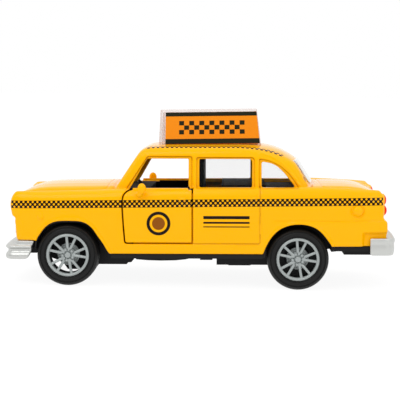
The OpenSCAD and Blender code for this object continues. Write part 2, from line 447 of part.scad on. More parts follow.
// ---- fasteners
module screw(l, r, hr, hh) { translate([0, 0, 0]) difference() { cylinder(r = hr, h = hh); translate([-hr, -0.25, -0.01]) cube([2 * hr, 0.5, 0.4]); translate([-0.25, -hr, -0.01]) cube([0.5, 2 * hr, 0.4]); } translate([0, 0, hh]) cylinder(r = r, h = l); }
module chassis_screws() color(STL) in_body() { translate([-52, 0, 9.2]) screw(7.5, 0.8, 1.9, 1.4); translate([50, 0, 10.7]) screw(7, 0.8, 1.9, 1.2); }
module motor_mount_screws() color(STL) in_body() for (s = [-1, 1]) translate([13, s * 12.4, 8.8]) screw(3.3, 0.6, 1.2, 0.9);
module motor_screws() color(STL) in_body() for (p = [[8.4, 18.8], [35, 18.8]]) translate([p.x, 11.9, p.y]) rotate([90, 0, 0]) screw(5, 0.7, 1.3, 0.9);

body_shell();
left_front_door();
right_front_door();
left_door_hinge_pin();
right_door_hinge_pin();
chassis_base();
interior_tub();
steering_wheel();
window_glazing();
roof_sign_housing();
left_sign_panel();
right_sign_panel();
front_bumper();
rear_bumper();
radiator_grille();
headlamp_lenses();
left_tail_lamps();
right_tail_lamps();
front_axle();
front_left_wheel();
front_right_wheel();
front_left_tyre();
front_right_tyre();
rear_axle();
rear_left_wheel();
rear_right_wheel();
rear_left_tyre();
rear_right_tyre();
motor_case();
motor_cover();
axle_gear();
step_up_gear();
step_up_shaft();
flywheel();
flywheel_pinion();
flywheel_shaft();
chassis_screws();
motor_mount_screws();
motor_screws();
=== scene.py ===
import math
import bpy
import bmesh
import numpy as np
import openvdb as vdb
from mathutils import Vector, Matrix


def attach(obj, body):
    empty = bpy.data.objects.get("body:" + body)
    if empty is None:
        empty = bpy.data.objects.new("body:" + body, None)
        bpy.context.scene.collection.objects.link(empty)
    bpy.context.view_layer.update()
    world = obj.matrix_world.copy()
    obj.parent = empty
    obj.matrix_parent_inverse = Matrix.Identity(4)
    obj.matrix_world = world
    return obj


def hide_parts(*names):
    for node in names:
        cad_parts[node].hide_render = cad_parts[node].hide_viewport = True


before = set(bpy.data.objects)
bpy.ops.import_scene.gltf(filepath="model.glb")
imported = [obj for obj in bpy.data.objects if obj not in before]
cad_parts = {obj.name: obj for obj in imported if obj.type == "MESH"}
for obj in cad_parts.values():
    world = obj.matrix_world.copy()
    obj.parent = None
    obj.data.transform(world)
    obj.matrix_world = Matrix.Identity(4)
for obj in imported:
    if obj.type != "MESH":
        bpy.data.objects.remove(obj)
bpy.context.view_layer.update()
RK = math.radians(0.9)
CK, SK = math.cos(RK), math.sin(RK)
MM = 0.001


# ------------------------------------------------------------------ frames
def to_row(p):
    """Body frame in mm (level sills) to the row frame in metres."""
    p = np.asarray(p, float).reshape(-1, 3)
    return np.stack([p[:, 0] * CK - p[:, 2] * SK, p[:, 1], p[:, 0] * SK + p[:, 2] * CK], 1) * MM


def row_mm(p):
    return np.asarray(p, float).reshape(-1, 3) * MM


def rot_row(n):
    return np.stack([n[:, 0] * CK - n[:, 2] * SK, n[:, 1], n[:, 0] * SK + n[:, 2] * CK], 1)


# ------------------------------------------------------------------ distance fields
def smax(a, b, k):
    h = np.maximum(k - np.abs(a - b), 0) / k
    return np.maximum(a, b) + h * h * (k * 0.25)


def smin(a, b, k):
    return -smax(-a, -b, k)


def sstep(t):
    t = np.clip(t, 0, 1)
    return t * t * (3 - 2 * t)


def psdf(poly, X, Z):
    P = np.asarray(poly, float)
    shape = np.broadcast(X, Z).shape
    d = np.full(shape, 1e9)
    inside = np.zeros(shape, bool)
    for i in range(len(P)):
        a, b = P[i], P[(i + 1) % len(P)]
        e = b - a
        L = e @ e
        if L < 1e-12:
            continue
        wx, wz = X - a[0], Z - a[1]
        t = np.clip((wx * e[0] + wz * e[1]) / L, 0, 1)
        d = np.minimum(d, (wx - e[0] * t) ** 2 + (wz - e[1] * t) ** 2)
        if abs(e[1]) > 1e-12:
            c = (a[1] <= Z) != (b[1] <= Z)
            inside ^= c & (X < a[0] + (Z - a[1]) / e[1] * e[0])
    d = np.sqrt(d)
    return np.where(inside, -d, d)


def lsdf(path, X, Z):
    """Distance to an open path."""
    P = np.asarray(path, float)
    d = np.full(np.broadcast(X, Z).shape, 1e9)
    for a, b in zip(P[:-1], P[1:]):
        e = b - a
        wx, wz = X - a[0], Z - a[1]
        t = np.clip((wx * e[0] + wz * e[1]) / (e @ e), 0, 1)
        d = np.minimum(d, (wx - e[0] * t) ** 2 + (wz - e[1] * t) ** 2)
    return np.sqrt(d)


def chaikin(poly, n=2, closed=True):
    P = np.asarray(poly, float)
    for _ in range(n):
        if closed:
            Q = np.roll(P, -1, 0)
            P = np.stack([P * 0.75 + Q * 0.25, P * 0.25 + Q * 0.75], 1).reshape(-1, 2)
        else:
            A, B = P[:-1], P[1:]
            R = np.stack([A * 0.75 + B * 0.25, A * 0.25 + B * 0.75], 1).reshape(-1, 2)
            P = np.vstack([P[:1], R[1:-1], P[-1:]])
    return P


def rnd(poly, r, n=4):
    """Rounds each corner of a closed outline by at most r along its edges."""
    P = np.asarray(poly, float)
    out = []
    for i in range(len(P)):
        a, b, c = P[i - 1], P[i], P[(i + 1) % len(P)]
        la, lc = np.linalg.norm(a - b), np.linalg.norm(c - b)
        p0, p1 = b + (a - b) / la * min(r, la * 0.45), b + (c - b) / lc * min(r, lc * 0.45)
        for t in np.linspace(0, 1, n):
            out.append((1 - t) ** 2 * p0 + 2 * t * (1 - t) * b + t * t * p1)
    return np.array(out)


def gsm(fx, v, s):
    st = fx[1] - fx[0]
    m = max(1, int(3 * s / st))
    g = np.exp(-0.5 * (np.arange(-m, m + 1) * st / s) ** 2)
    g /= g.sum()
    return np.convolve(np.pad(v, (m, m), "edge"), g, "valid")


def curve(x, xp, fp, s=1.2):
    fx = np.arange(min(xp[0], -70), max(xp[-1], 70), 0.05)
    return np.interp(x, fx, gsm(fx, np.interp(fx, xp, fp), s))


def soften(f):
    """One light smoothing pass over a field, which rounds edges by a fraction of a grid step."""
    for ax in range(3):
        f = np.asarray(f, np.float32)
        a = np.swapaxes(f, 0, ax)
        b = a.copy()
        b[1:-1] = 0.25 * a[:-2] + 0.5 * a[1:-1] + 0.25 * a[2:]
        f = np.swapaxes(b, 0, ax)
    return f


def rbox(u, v, hu, hv, r):
    a, b = np.abs(u) - hu + r, np.abs(v) - hv + r
    return np.minimum(np.maximum(a, b), 0) + np.sqrt(np.maximum(a, 0) ** 2 + np.maximum(b, 0) ** 2) - r


class Grid:
    def __init__(self, lo, hi, h):
        self.lo = np.array(lo, float)
        self.h = h
        self.n = [int(math.ceil((b - a) / h)) + 1 for a, b in zip(lo, hi)]
        self.xs, self.ys, self.zs = [(self.lo[i] + h * np.arange(self.n[i])).astype(np.float32) for i in range(3)]
        self.X, self.Y, self.Z = self.xs[:, None, None], self.ys[None, :, None], self.zs[None, None, :]
        self.X2, self.Z2 = self.xs[:, None].astype(float), self.zs[None, :].astype(float)

    def sample(self, f, p):
        q = (p - self.lo) / self.h
        i = np.clip(np.floor(q).astype(int), 0, np.array(f.shape) - 2)
        t = np.clip(q - i, 0, 1).astype(np.float32)
        out = 0
        for a in (0, 1):
            for b in (0, 1):
                for c in (0, 1):
                    w = (t[:, 0] if a else 1 - t[:, 0]) * (t[:, 1] if b else 1 - t[:, 1]) * (t[:, 2] if c else 1 - t[:, 2])
                    out = out + w * f[i[:, 0] + a, i[:, 1] + b, i[:, 2] + c]
        return out

    def grad(self, f, p, e=None):
        e = e or self.h * 0.6
        g = [self.sample(f, p + np.eye(3)[k] * e) - self.sample(f, p - np.eye(3)[k] * e) for k in range(3)]
        return np.stack(g, 1) / (2 * e)


def mesh_of(f, g, adapt=0.0, both=False):
    """Surface of f = 0 as (vertices in mm, polygons, normals). both mirrors a half grid that starts at y = 0."""
    f = f.astype(np.float32)
    lo = g.lo.copy()
    if both:
        f = np.concatenate([f[:, :0:-1], f], 1)
        lo[1] = -g.ys[-1]
    band = 3.0 * g.h
    cl = np.clip(f, -band, band)
    cl[0], cl[-1], cl[:, 0], cl[:, -1], cl[:, :, 0], cl[:, :, -1] = band, band, band, band, band, band
    v = vdb.FloatGrid(band)
    v.copyFromArray(np.ascontiguousarray(cl), tolerance=1e-6)
    pts, tris, quads = v.convertToPolygons(isovalue=0.0, adaptivity=adapt)
    p = np.asarray(pts, float) * g.h + lo
    gg = Grid.__new__(Grid)
    gg.lo, gg.h = lo, g.h
    for _ in range(2):
        d = gg.sample(cl, p)
        n = gg.grad(cl, p)
        p = p - (d / np.maximum((n * n).sum(1), 0.2))[:, None] * n
    n = gg.grad(cl, p)
    n /= np.maximum(np.linalg.norm(n, axis=1), 1e-6)[:, None]
    faces = [tuple(q) for q in np.asarray(quads)] + [tuple(t) for t in np.asarray(tris)]
    a = np.asarray(quads[: min(2000, len(quads))] if len(quads) else tris[:2000])
    fn = np.cross(p[a[:, 1]] - p[a[:, 0]], p[a[:, 2]] - p[a[:, 0]])
    if ((fn * n[a[:, 0]]).sum(1) > 0).mean() < 0.5:
        faces = [q[::-1] for q in faces]
    return p, faces, n


# ------------------------------------------------------------------ objects
def make(name, verts, faces, mats, body, cad=(), normals=None, smooth=True, idx=None):
    me = bpy.data.meshes.new(name)
    me.from_pydata([tuple(v) for v in verts], [], [tuple(int(i) for i in q) for q in faces])
    me.validate()
    me.update()
    o = bpy.data.objects.new(name, me)
    bpy.context.scene.collection.objects.link(o)
    for m in mats if isinstance(mats, (list, tuple)) else [mats]:
        me.materials.append(m)
    me.polygons.foreach_set("use_smooth", [smooth] * len(me.polygons))
    if idx is not None:
        me.polygons.foreach_set("material_index", idx)
    if normals is not None and len(me.vertices) == len(normals):
        me.normals_split_custom_set_from_vertices([tuple(x) for x in normals])
    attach(o, body)
    if cad:
        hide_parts(*cad)
    return o


def painted_groove_shade(o, vals):
    """Stores how much painted shade darkens the paint in the grooves, one value per vertex."""
    if len(o.data.vertices) == len(vals):
        a = o.data.attributes.new("painted_groove_shade", "FLOAT", "POINT")
        a.data.foreach_set("value", np.ascontiguousarray(np.clip(vals, 0, 1), dtype=np.float32))


def sdf_obj(name, f, g, mats, body, cad=(), adapt=0.0, both=False, row=False, groove_shade_amount=None):
    p, faces, n = mesh_of(f, g, adapt, both)
    v = row_mm(p) if row else to_row(p)
    nn = n if row else rot_row(n)
    print(name, len(v), "verts", len(faces), "faces")
    o = make(name, v, faces, mats, body, cad, nn)
    if groove_shade_amount is not None:
        painted_groove_shade(o, groove_shade_amount(p))
    return o


def bevel(o, w, seg=2, ang=35):
    m = o.modifiers.new("b", "BEVEL")
    m.width = w * MM
    m.segments = seg
    m.limit_method = "ANGLE"
    m.angle_limit = math.radians(ang)
    m.harden_normals = False
    return m


def flat_shade(o, ang=35):
    me = o.data
    me.polygons.foreach_set("use_smooth", [True] * len(me.polygons))
    me.set_sharp_from_angle(angle=math.radians(ang))


def prism(poly, a, b, axis="y"):
    """Closed prism over a 2-D outline; axis y: outline is [x, z] from y=a to y=b; x: outline [y, z]; z: outline [x, y]."""
    P = [tuple(q) for q in poly]
    area = sum(P[i][0] * P[(i + 1) % len(P)][1] - P[(i + 1) % len(P)][0] * P[i][1] for i in range(len(P)))
    if area < 0:
        P = P[::-1]
    n = len(P)

    def at(q, t):
        return {"y": (q[0], t, q[1]), "x": (t, q[0], q[1]), "z": (q[0], q[1], t)}[axis]

    v = [at(q, a) for q in P] + [at(q, b) for q in P]
    f = [tuple(range(n))[::-1], tuple(range(n, 2 * n))] + [(i, (i + 1) % n, n + (i + 1) % n, n + i) for i in range(n)]
    if axis == "y":
        f = [q[::-1] for q in f]
    return v, f


def box(x0, x1, y0, y1, z0, z1):
    return prism([(x0, y0), (x1, y0), (x1, y1), (x0, y1)], z0, z1, "z")


def merge(parts):
    V, F, I = [], [], []
    for k, part in enumerate(parts):
        v, f = part[0], part[1]
        m = part[2] if len(part) > 2 else 0
        o = len(V)
        V += [tuple(q) for q in v]
        F += [tuple(i + o for i in q) for q in f]
        I += [m] * len(f)
    return V, F, I


def lathe(prof, n=96, closed=True):
    """Turns [r, a] about the a axis (returned as local z = a). Closed loops make rings."""
    P = np.asarray(prof, float)
    t = np.arange(n) * 2 * math.pi / n
    V = np.stack([np.outer(np.cos(t), P[:, 0]), np.outer(np.sin(t), P[:, 0]), np.tile(P[:, 1], (n, 1))], 2).reshape(-1, 3)
    m = len(P)
    F = []
    for i in range(n):
        for j in range(m if closed else m - 1):
            a, b = i * m + j, i * m + (j + 1) % m
            c, d = ((i + 1) % n) * m + (j + 1) % m, ((i + 1) % n) * m + j
            F.append((a, d, c, b))
    return V, F


# ------------------------------------------------------------------ materials
def srgb(r, g, b):
    return tuple(((c / 255) / 12.92 if c / 255 <= 0.04045 else ((c / 255 + 0.055) / 1.055) ** 2.4) for c in (r, g, b)) + (1.0,)


def material(name, color, rough=0.4, metal=0.0, coat=0.0, coat_rough=0.05, spec=0.5, alpha=1.0, bump=0.0, bump_scale=400.0, rough_var=0.0, ior=1.5, trans=0.0):
    m = bpy.data.materials.new(name)
    m.use_nodes = True
    nt = m.node_tree
    b = nt.nodes["Principled BSDF"]
    b.inputs["Base Color"].default_value = color
    b.inputs["Roughness"].default_value = rough
    b.inputs["Metallic"].default_value = metal
    b.inputs["Coat Weight"].default_value = coat
    b.inputs["Coat Roughness"].default_value = coat_rough
    b.inputs["Specular IOR Level"].default_value = spec
    b.inputs["IOR"].default_value = ior
    b.inputs["Alpha"].default_value = alpha
    b.inputs["Transmission Weight"].default_value = trans
    tc = nt.nodes.new("ShaderNodeTexCoord")
    if bump > 0:
        nz = nt.nodes.new("ShaderNodeTexNoise")
        nz.inputs["Scale"].default_value = bump_scale
        nz.inputs["Detail"].default_value = 3.0
        nt.links.new(tc.outputs["Object"], nz.inputs["Vector"])
        bp = nt.nodes.new("ShaderNodeBump")
        bp.inputs["Strength"].default_value = bump
        bp.inputs["Distance"].default_value = 0.0001
        nt.links.new(nz.outputs["Fac"], bp.inputs["Height"])
        nt.links.new(bp.outputs["Normal"], b.inputs["Normal"])
    if rough_var > 0:
        n2 = nt.nodes.new("ShaderNodeTexNoise")
        n2.inputs["Scale"].default_value = 160.0
        n2.inputs["Detail"].default_value = 4.0
        nt.links.new(tc.outputs["Object"], n2.inputs["Vector"])
        mr = nt.nodes.new("ShaderNodeMapRange")
        mr.inputs["To Min"].default_value = max(0.02, rough - rough_var)
        mr.inputs["To Max"].default_value = min(1.0, rough + rough_var)
        nt.links.new(n2.outputs["Fac"], mr.inputs["Value"])
        nt.links.new(mr.outputs["Result"], b.inputs["Roughness"])
    return m


class N:
    """Small helper for math node chains."""

    def __init__(self, nt):
        self.nt = nt

    def m(self, op, a, b=None, c=None):
        n = self.nt.nodes.new("ShaderNodeMath")
        n.operation = op
        for i, v in enumerate((a, b, c)):
            if v is None:
                continue
            if isinstance(v, (int, float)):
                n.inputs[i].default_value = v
            else:
                self.nt.links.new(v, n.inputs[i])
        return n.outputs[0]


SQ = 0.000775


def paint(name, stripes=True):
    m = material(name, srgb(255, 181, 0), rough=0.4, coat=1.0, coat_rough=0.1, spec=0.0, bump=0.04, bump_scale=900, rough_var=0.04)
    m.node_tree.nodes["Principled BSDF"].inputs["Coat IOR"].default_value = 1.22
    nt = m.node_tree
    b = nt.nodes["Principled BSDF"]
    if not stripes:
        return m
    q = N(nt)
    tc = nt.nodes.new("ShaderNodeTexCoord")
    sp = nt.nodes.new("ShaderNodeSeparateXYZ")
    nt.links.new(tc.outputs["Object"], sp.inputs[0])
    x, y, z = sp.outputs[0], sp.outputs[1], sp.outputs[2]
    ay = q.m("ABSOLUTE", y)
    # side stripe: three rows, climbing gently to the tail
    low = q.m("MULTIPLY_ADD", x, 0.02625, 0.026885)
    v = q.m("DIVIDE", q.m("SUBTRACT", z, q.m("SUBTRACT", low, 0.00006)), SQ * 1.045)
    u = q.m("DIVIDE", q.m("ADD", x, 0.00012), SQ)

    def checks(a, b, t):
        sa = q.m("SINE", q.m("MULTIPLY", a, math.pi))
        sb = q.m("SINE", q.m("MULTIPLY", b, math.pi))
        return q.m("GREATER_THAN", q.m("MULTIPLY", sa, sb), t)

    dark = checks(u, v, -0.24)
    inb = q.m("MULTIPLY", q.m("GREATER_THAN", v, -0.04), q.m("LESS_THAN", v, 3.04))
    inx = q.m("MULTIPLY", q.m("GREATER_THAN", x, -0.0621), q.m("LESS_THAN", x, 0.0592))
    side = q.m("MULTIPLY", q.m("MULTIPLY", dark, inb), q.m("MULTIPLY", inx, q.m("GREATER_THAN", ay, 0.0212)))
    # roof strip: two rows along each edge
    v2 = q.m("DIVIDE", q.m("SUBTRACT", ay, 0.0161), 0.001)
    dark2 = checks(u, v2, -0.08)
    in2 = q.m("MULTIPLY", q.m("GREATER_THAN", v2, 0.0), q.m("LESS_THAN", v2, 2.0))
    in3 = q.m("MULTIPLY", q.m("GREATER_THAN", x, -0.0186), q.m("LESS_THAN", x, 0.0269))
    roof = q.m("MULTIPLY", q.m("MULTIPLY", dark2, in2), q.m("MULTIPLY", in3, q.m("GREATER_THAN", z, 0.0405)))
    fac = q.m("MAXIMUM", side, roof)
    mix = nt.nodes.new("ShaderNodeMix")
    mix.data_type = "RGBA"
    mix.inputs["A"].default_value = srgb(255, 181, 0)
    mix.inputs["B"].default_value = srgb(28, 20, 16)
    nt.links.new(fac, mix.inputs["Factor"])
    # painted shade: a dark brown blended in by the per-vertex groove value darkens the grooves and window frame
    # recesses
    at = nt.nodes.new("ShaderNodeAttribute")
    at.attribute_name = "painted_groove_shade"
    mix2 = nt.nodes.new("ShaderNodeMix")
    mix2.data_type = "RGBA"
    nt.links.new(mix.outputs["Result"], mix2.inputs["A"])
    mix2.inputs["B"].default_value = srgb(122, 56, 0)
    nt.links.new(at.outputs["Fac"], mix2.inputs["Factor"])
    nt.links.new(mix2.outputs["Result"], b.inputs["Base Color"])
    return m


M_PAINT = paint("taxi_paint")
M_INK = material("black_print", srgb(26, 20, 16), rough=0.45, spec=0.1)
M_INK2 = material("brown_print", srgb(140, 78, 14), rough=0.45, spec=0.1)
M_BLACK = material("black_plastic", srgb(16, 16, 17), rough=0.5, spec=0.25, bump=0.12, bump_scale=1500, rough_var=0.08)
M_TRIM = material("interior_black", srgb(9, 8, 8), rough=0.65, spec=0.06, bump=0.1, bump_scale=1500, rough_var=0.06)
M_SILVER = material("silver_plating", srgb(204, 205, 202), rough=0.42, metal=0.88)
# painted shadow for the recess behind the grille bars and in the lamp bowls
M_GRILLE_SHADOW = material("grille_shadow", srgb(70, 71, 72), rough=0.35, metal=0.6)
M_WHEEL = material("wheel_grey", srgb(162, 168, 167), rough=0.36, metal=0.25, spec=0.35, bump=0.05, bump_scale=1800, rough_var=0.06)
# darker grey, painted shade inside the wheel barrels and on the closed wheel backs
M_BARREL_SHADE = material("wheel_barrel_shade", srgb(52, 54, 54), rough=0.5, metal=0.1, spec=0.2)
M_TYRE = material("tyre_rubber", srgb(15, 15, 15), rough=0.45, spec=0.26, bump=0.05, bump_scale=1200, rough_var=0.1)
M_CLEAR = material("clear_plastic", srgb(220, 190, 177), rough=0.06, alpha=0.16, spec=0.3, bump=0.01)
M_GLASS = material("window_plastic", srgb(222, 226, 225), rough=0.05, alpha=0.05, spec=0.3, bump=0.01)
M_ORANGE = material("sign_orange", srgb(232, 134, 12), rough=0.5, spec=0.08, bump=0.05, bump_scale=2500, rough_var=0.05)
M_SIGNINK = material("sign_ink", srgb(30, 31, 14), rough=0.5, spec=0.08)


def edge_alpha(m, lo, hi, power=3.0, tint=None):
    """Clear plastic that shows more where it is seen edge on."""
    nt = m.node_tree
    q = N(nt)
    lw = nt.nodes.new("ShaderNodeLayerWeight")
    lw.inputs["Blend"].default_value = 0.5
    e = q.m("POWER", lw.outputs["Facing"], power)
    nt.links.new(q.m("MULTIPLY_ADD", e, hi - lo, lo), nt.nodes["Principled BSDF"].inputs["Alpha"])
    if tint:
        # painted reflection: the base colour runs from the darker tint face on to the pale colour edge on, so the glass
        # brightens where it is seen edge on
        mx = nt.nodes.new("ShaderNodeMix")
        mx.data_type = "RGBA"
        mx.inputs["A"].default_value = tint
        mx.inputs["B"].default_value = tuple(nt.nodes["Principled BSDF"].inputs["Base Color"].default_value)
        nt.links.new(q.m("MINIMUM", q.m("MULTIPLY", e, 2.4), 1.0), mx.inputs["Factor"])
        nt.links.new(mx.outputs["Result"], nt.nodes["Principled BSDF"].inputs["Base Color"])


M_RED = material("red_lens", srgb(238, 36, 8), rough=0.25, coat=0.0, spec=0.1, bump=0.02)
M_STEEL = material("steel", srgb(180, 182, 184), rough=0.28, metal=1.0, bump=0.03, rough_var=0.06)
M_NYLON = material("nylon", srgb(228, 224, 210), rough=0.45, bump=0.05, rough_var=0.05)
M_LENS = material("lamp_lens", srgb(240, 242, 244), rough=0.05, alpha=0.45, bump=0.05, bump_scale=700)

M_GLASS2 = material("window_plastic_thin", srgb(222, 226, 225), rough=0.05, alpha=0.05, spec=0.3, bump=0.01)
edge_alpha(M_GLASS, 0.04, 1.25, 2.2, srgb(70, 72, 70))
edge_alpha(M_GLASS2, 0.04, 0.3, 3.0, srgb(70, 72, 70))
edge_alpha(M_CLEAR, 0.2, 0.95, 1.8)

# ------------------------------------------------------------------ body form (body frame, mm)
ARCH_F = [[-53.9, 9], [-53.6, 15.5], [-52, 18], [-50.3, 20.1], [-48.8, 21.2], [-47.3, 21.8], [-45.5, 22.15], [-39.4, 22.15], [-37.0, 21.5], [-34.9, 19.9], [-33.6, 17.8],
          [-31.6, 15], [-30.1, 12.3], [-29.3, 11.1], [-28.9, 9]]
ARCH_R = [[20.2, 9], [20.8, 11.2], [21.9, 14.1], [23.7, 17.2], [26.2, 19.6], [29.3, 20.9], [32.4, 21.25], [35.7, 20.9], [38.3, 19.8], [40.3, 18], [41.9, 15.9], [43.3, 13.9], [44.2, 9]]
OUTLINE = [[-53.6, 15.6], [-59.9, 15.6], [-60.15, 16.9], [-60.3, 20.5], [-60.55, 21.7], [-60.3, 23.1], [-61.4, 23.5], [-61.95, 26], [-62.1, 27.6], [-61.6, 29.7],
           [-60.3, 31.7], [-59.5, 38], [58.3, 38], [58.9, 31.7], [59.9, 30.5], [60, 23.2], [60.5, 22.3], [61.3, 21.9], [61.4, 18.4], [61.0, 17], [61, 13.86],
           [43.3, 13.86], [38, 11.26], [-50, 11.26]]
OUT_OPEN = [q for q in OUTLINE[1:21]] + [[61, 0], [-59.9, 0]]
DOOR = [[-21.6, 32.5], [-22.5, 32.4], [-23.6, 32.0], [-24.5, 31.2], [-25.0, 30.3], [-25.25, 29.2], [-25.3, 26.9], [-25.0, 21.7], [-24.55, 15.4], [-24.35, 14.9], [-23.9, 14.62],
        [-2.3, 14.62], [-2.0, 14.9], [-2.0, 32.6]]
WIN_F = [[-22.9, 32.3], [-17.3, 42.0], [-16.9, 42.2], [-3.8, 42.2], [-3.6, 42.0], [-3.6, 32.3]]
FRM_F = [[-24.6, 31.6], [-17.3, 42.8], [-16.9, 43.05], [-2.3, 43.05], [-2.3, 31.6]]
WIN_R = [[0, 33.0], [0, 41.9], [0.2, 42.1], [16.4, 42.1], [16.9, 41.9], [17.2, 41.4], [17.2, 33.0]]
FRM_R = [[-1.05, 32.4], [-1.05, 42.75], [17.3, 42.75], [17.9, 42.4], [18.15, 41.8], [18.15, 32.4]]
WIN_Q = [[20.4, 33.0], [20.4, 41.3], [22.4, 41.0], [23.9, 40.6], [25.4, 39.8], [27.6, 37.8], [29.5, 35.4], [31.1, 33.4], [31.0, 33.0]]
FRM_Q = [[19.45, 32.4], [19.45, 42.3], [22.4, 41.9], [24.6, 41.0], [26.9, 39.7], [29.3, 37.6], [31.2, 35.1], [32.8, 32.6]]
HOUSE = [[-28.6, 31], [-27.15, 33.4], [-19.75, 44.5], [-19.1, 45.3], [-17.9, 46.2], [-16, 48.5], [21.2, 48.5], [25.6, 46.2], [28.1, 44.2], [29.8, 42.5], [30.8, 41.4], [35.35, 34.2], [36.5, 31]]
HOUSE_G = [[-32.2, 25]] + HOUSE[1:-1] + [[38.8, 25]]
HOUSE_IN = [[-27.0, 27], [-26.0, 33.2], [-18.6, 44.0], [-17, 48], [24.9, 48], [28.9, 42.2], [34.2, 33.6], [34.2, 27]]
ST = np.array([[-62.6, 21.9, 31.55, 28.7], [-61.6, 22.9, 31.55, 29.6], [-60.2, 23.5, 31.55, 30.4], [-58.1, 24.0, 31.55, 31.7], [-55.6, 24.3, 31.55, 32.6], [-52.2, 24.6, 31.45, 33.2],
               [-48.7, 24.8, 31.5, 33.42], [-41.7, 24.9, 31.7, 33.6], [-34.8, 25, 31.85, 33.65], [-28.6, 25, 32.05, 33.75], [-24, 25, 32.35, 33.4], [-12, 25, 32.6, 33.2], [6, 25, 32.8, 33.3],
               [22, 25, 32.95, 33.4], [34, 25, 32.95, 33.45], [39.7, 24.95, 32.85, 33.5], [43, 24.9, 32.75, 33.7], [49, 24.7, 32.5, 33.6], [53, 24.5, 32.3, 33.1], [55.5, 24.3, 32.2, 32.3],
               [57.9, 24.0, 32.05, 31.2], [59.6, 23.7, 31.95, 30.0], [61.6, 23.2, 31.8, 28.4]])
GS = np.array([[-30, 43.8, 44.2], [-21, 45.0, 45.9], [-17.5, 45.75, 46.5], [-12, 45.85, 46.65], [8, 45.9, 46.7], [14, 45.85, 46.7], [19.6, 45.15, 46.6], [22.9, 44.4, 46.2], [25.7, 43.4, 45.4],
               [28.3, 42.2, 44.3], [30.4, 41.5, 43.1], [33, 40.4, 42.0], [40, 37.6, 39.4]])


def bow(y, a, w):
    return a * np.clip(1 - (y / w) ** 2, 0, 1)


def shifted_z(tab, g, s_front, s_rear, wz, split=0.0):
    """Like shifted, with the front bow scaled by a factor for each height."""
    x = g.xs[:, None, None].astype(np.float32)
    out = np.empty((len(g.xs), len(g.ys), len(g.zs)), np.float32)
    tab = tab.astype(np.float32)
    k = np.arange(len(g.zs))
    for j in range(len(g.ys)):
        xe = np.where(g.xs[:, None] < split, g.xs[:, None] + s_front[j] * wz[None, :], g.xs[:, None] - s_rear[j])
        q = (xe - g.xs[0]) / g.h
        i = np.clip(np.floor(q).astype(int), 0, len(g.xs) - 2)
        t = (q - i).astype(np.float32)
        out[:, j, :] = tab[i, k[None, :]] * (1 - t) + tab[i + 1, k[None, :]] * t
    return out


def shifted(tab, g, s_front, s_rear, split=0.0):
    """Samples a 2-D (x, z) table at x moved out by a bow that depends on y."""
    x = g.xs[:, None].astype(float)
    xe = np.where(x < split, x + s_front[None, :], x - s_rear[None, :])
    q = (xe - g.xs[0]) / g.h
    i = np.clip(np.floor(q).astype(int), 0, len(g.xs) - 2)
    t = (q - i)[:, :, None].astype(np.float32)
    tab = tab.astype(np.float32)
    return tab[i] * (1 - t) + tab[i + 1] * t


def lower_field(g, outline):
    xs, ys, zs = g.xs.astype(float), np.abs(g.ys.astype(float)), g.zs.astype(float)
    W = curve(xs, ST[:, 0], ST[:, 1], 0.7)
    zc = curve(xs, ST[:, 0], ST[:, 2], 1.5)
    zh = curve(xs, ST[:, 0], ST[:, 3], 1.2)
    zr = g.Z2 - (zc - 31.6)[:, None] * sstep((g.Z2 - 22) / 8)
    fz = np.arange(5, 50, 0.05)
    ins = gsm(fz, np.interp(fz, [9, 11.2, 15, 19.5, 24, 27.5, 29.4, 30.6, 31.4, 32.4, 36], [1.15, 0.85, 0.45, 0.12, 0, 0.1, 0.35, 0.8, 1.4, 2.6, 8]), 0.35)
    ws = W[:, None] - np.interp(zr, fz, ins)
    # raised wheel arch lips and the step along the lower tail
    da = np.minimum(psdf(chaikin(ARCH_F, 2), g.X2, g.Z2), psdf(chaikin(ARCH_R, 2), g.X2, g.Z2))
    ws = ws + 0.28 * np.exp(-((np.clip(da, 0, 9) - 0.35) / 0.55) ** 2)
    ws = ws + 0.16 * sstep((22.5 - g.Z2) / 0.5) * sstep((g.X2 - 23) / 10) * sstep((62 - g.X2) / 1.0)
    ws = ws - 1.05 * sstep((g.X2 - 52.9) / 1.0) * sstep((18.7 - g.Z2) / 0.7)
    f = g.Y - ws[:, None, :].astype(np.float32)
    fy = np.arange(-1, 30, 0.05)
    gy = gsm(fy, np.interp(fy, [0, 9, 15.4, 16.8, 17.8, 19.0], [1, 0.93, 0.72, 0.52, 0.2, 0.0]), 0.35)
    vy = gsm(fy, np.interp(fy, [0, 9, 16.5, 18.7, 20.6, 22.2, 24], [0, -0.05, -0.25, -0.5, -0.05, 0.34, 0.2]), 0.3)
    T = zc[:, None] + (zh - zc)[:, None] * np.interp(ys, fy, gy)[None] + np.interp(ys, fy, vy)[None]
    top = (g.Z - T[:, :, None].astype(np.float32)) * 0.97
    f = smax(f, top, 1.15)
    o = shifted(psdf(rnd(outline, 0.7) if outline is OUTLINE else outline, g.X2, g.Z2), g, bow(ys, 0.7, 23), bow(ys, 0.7, 23))
    return smax(f, o, 0.8), da


def house_field(g, line, k=1.5):
    xs, ys = g.xs.astype(float), np.abs(g.ys.astype(float))
    e = curve(xs, GS[:, 0], GS[:, 1], 1.6)
    c = curve(xs, GS[:, 0], GS[:, 2], 1.6)
    tap = 0.9 * sstep((np.abs(xs - 4) - 16) / 18)
    fz = np.arange(20, 55, 0.05)
    tum = gsm(fz, np.interp(fz, [25, 32.6, 37, 42, 50], [21.95, 21.75, 21.05, 20.0, 18.2]), 0.8)
    w = np.interp(g.Z2, fz, tum) - tap[:, None]
    f = (g.Y - w[:, None, :].astype(np.float32)) * 0.975
    T = e[:, None] + (c - e)[:, None] * (1 - (np.clip(ys, 0, 20) / 18.6)[None] ** 3.2)
    top = (g.Z - T[:, :, None].astype(np.float32)) * 0.97
    f = smax(f, top, 2.3)
    wz = 0.15 + 0.85 * np.clip((45.5 - g.zs.astype(float)) / 12.0, 0, 1)
    o = shifted_z(psdf(line, g.X2, g.Z2), g, bow(ys, 0.8, 19.5), bow(ys, 2.05, 19.5), wz)
    return smax(f, o, k)


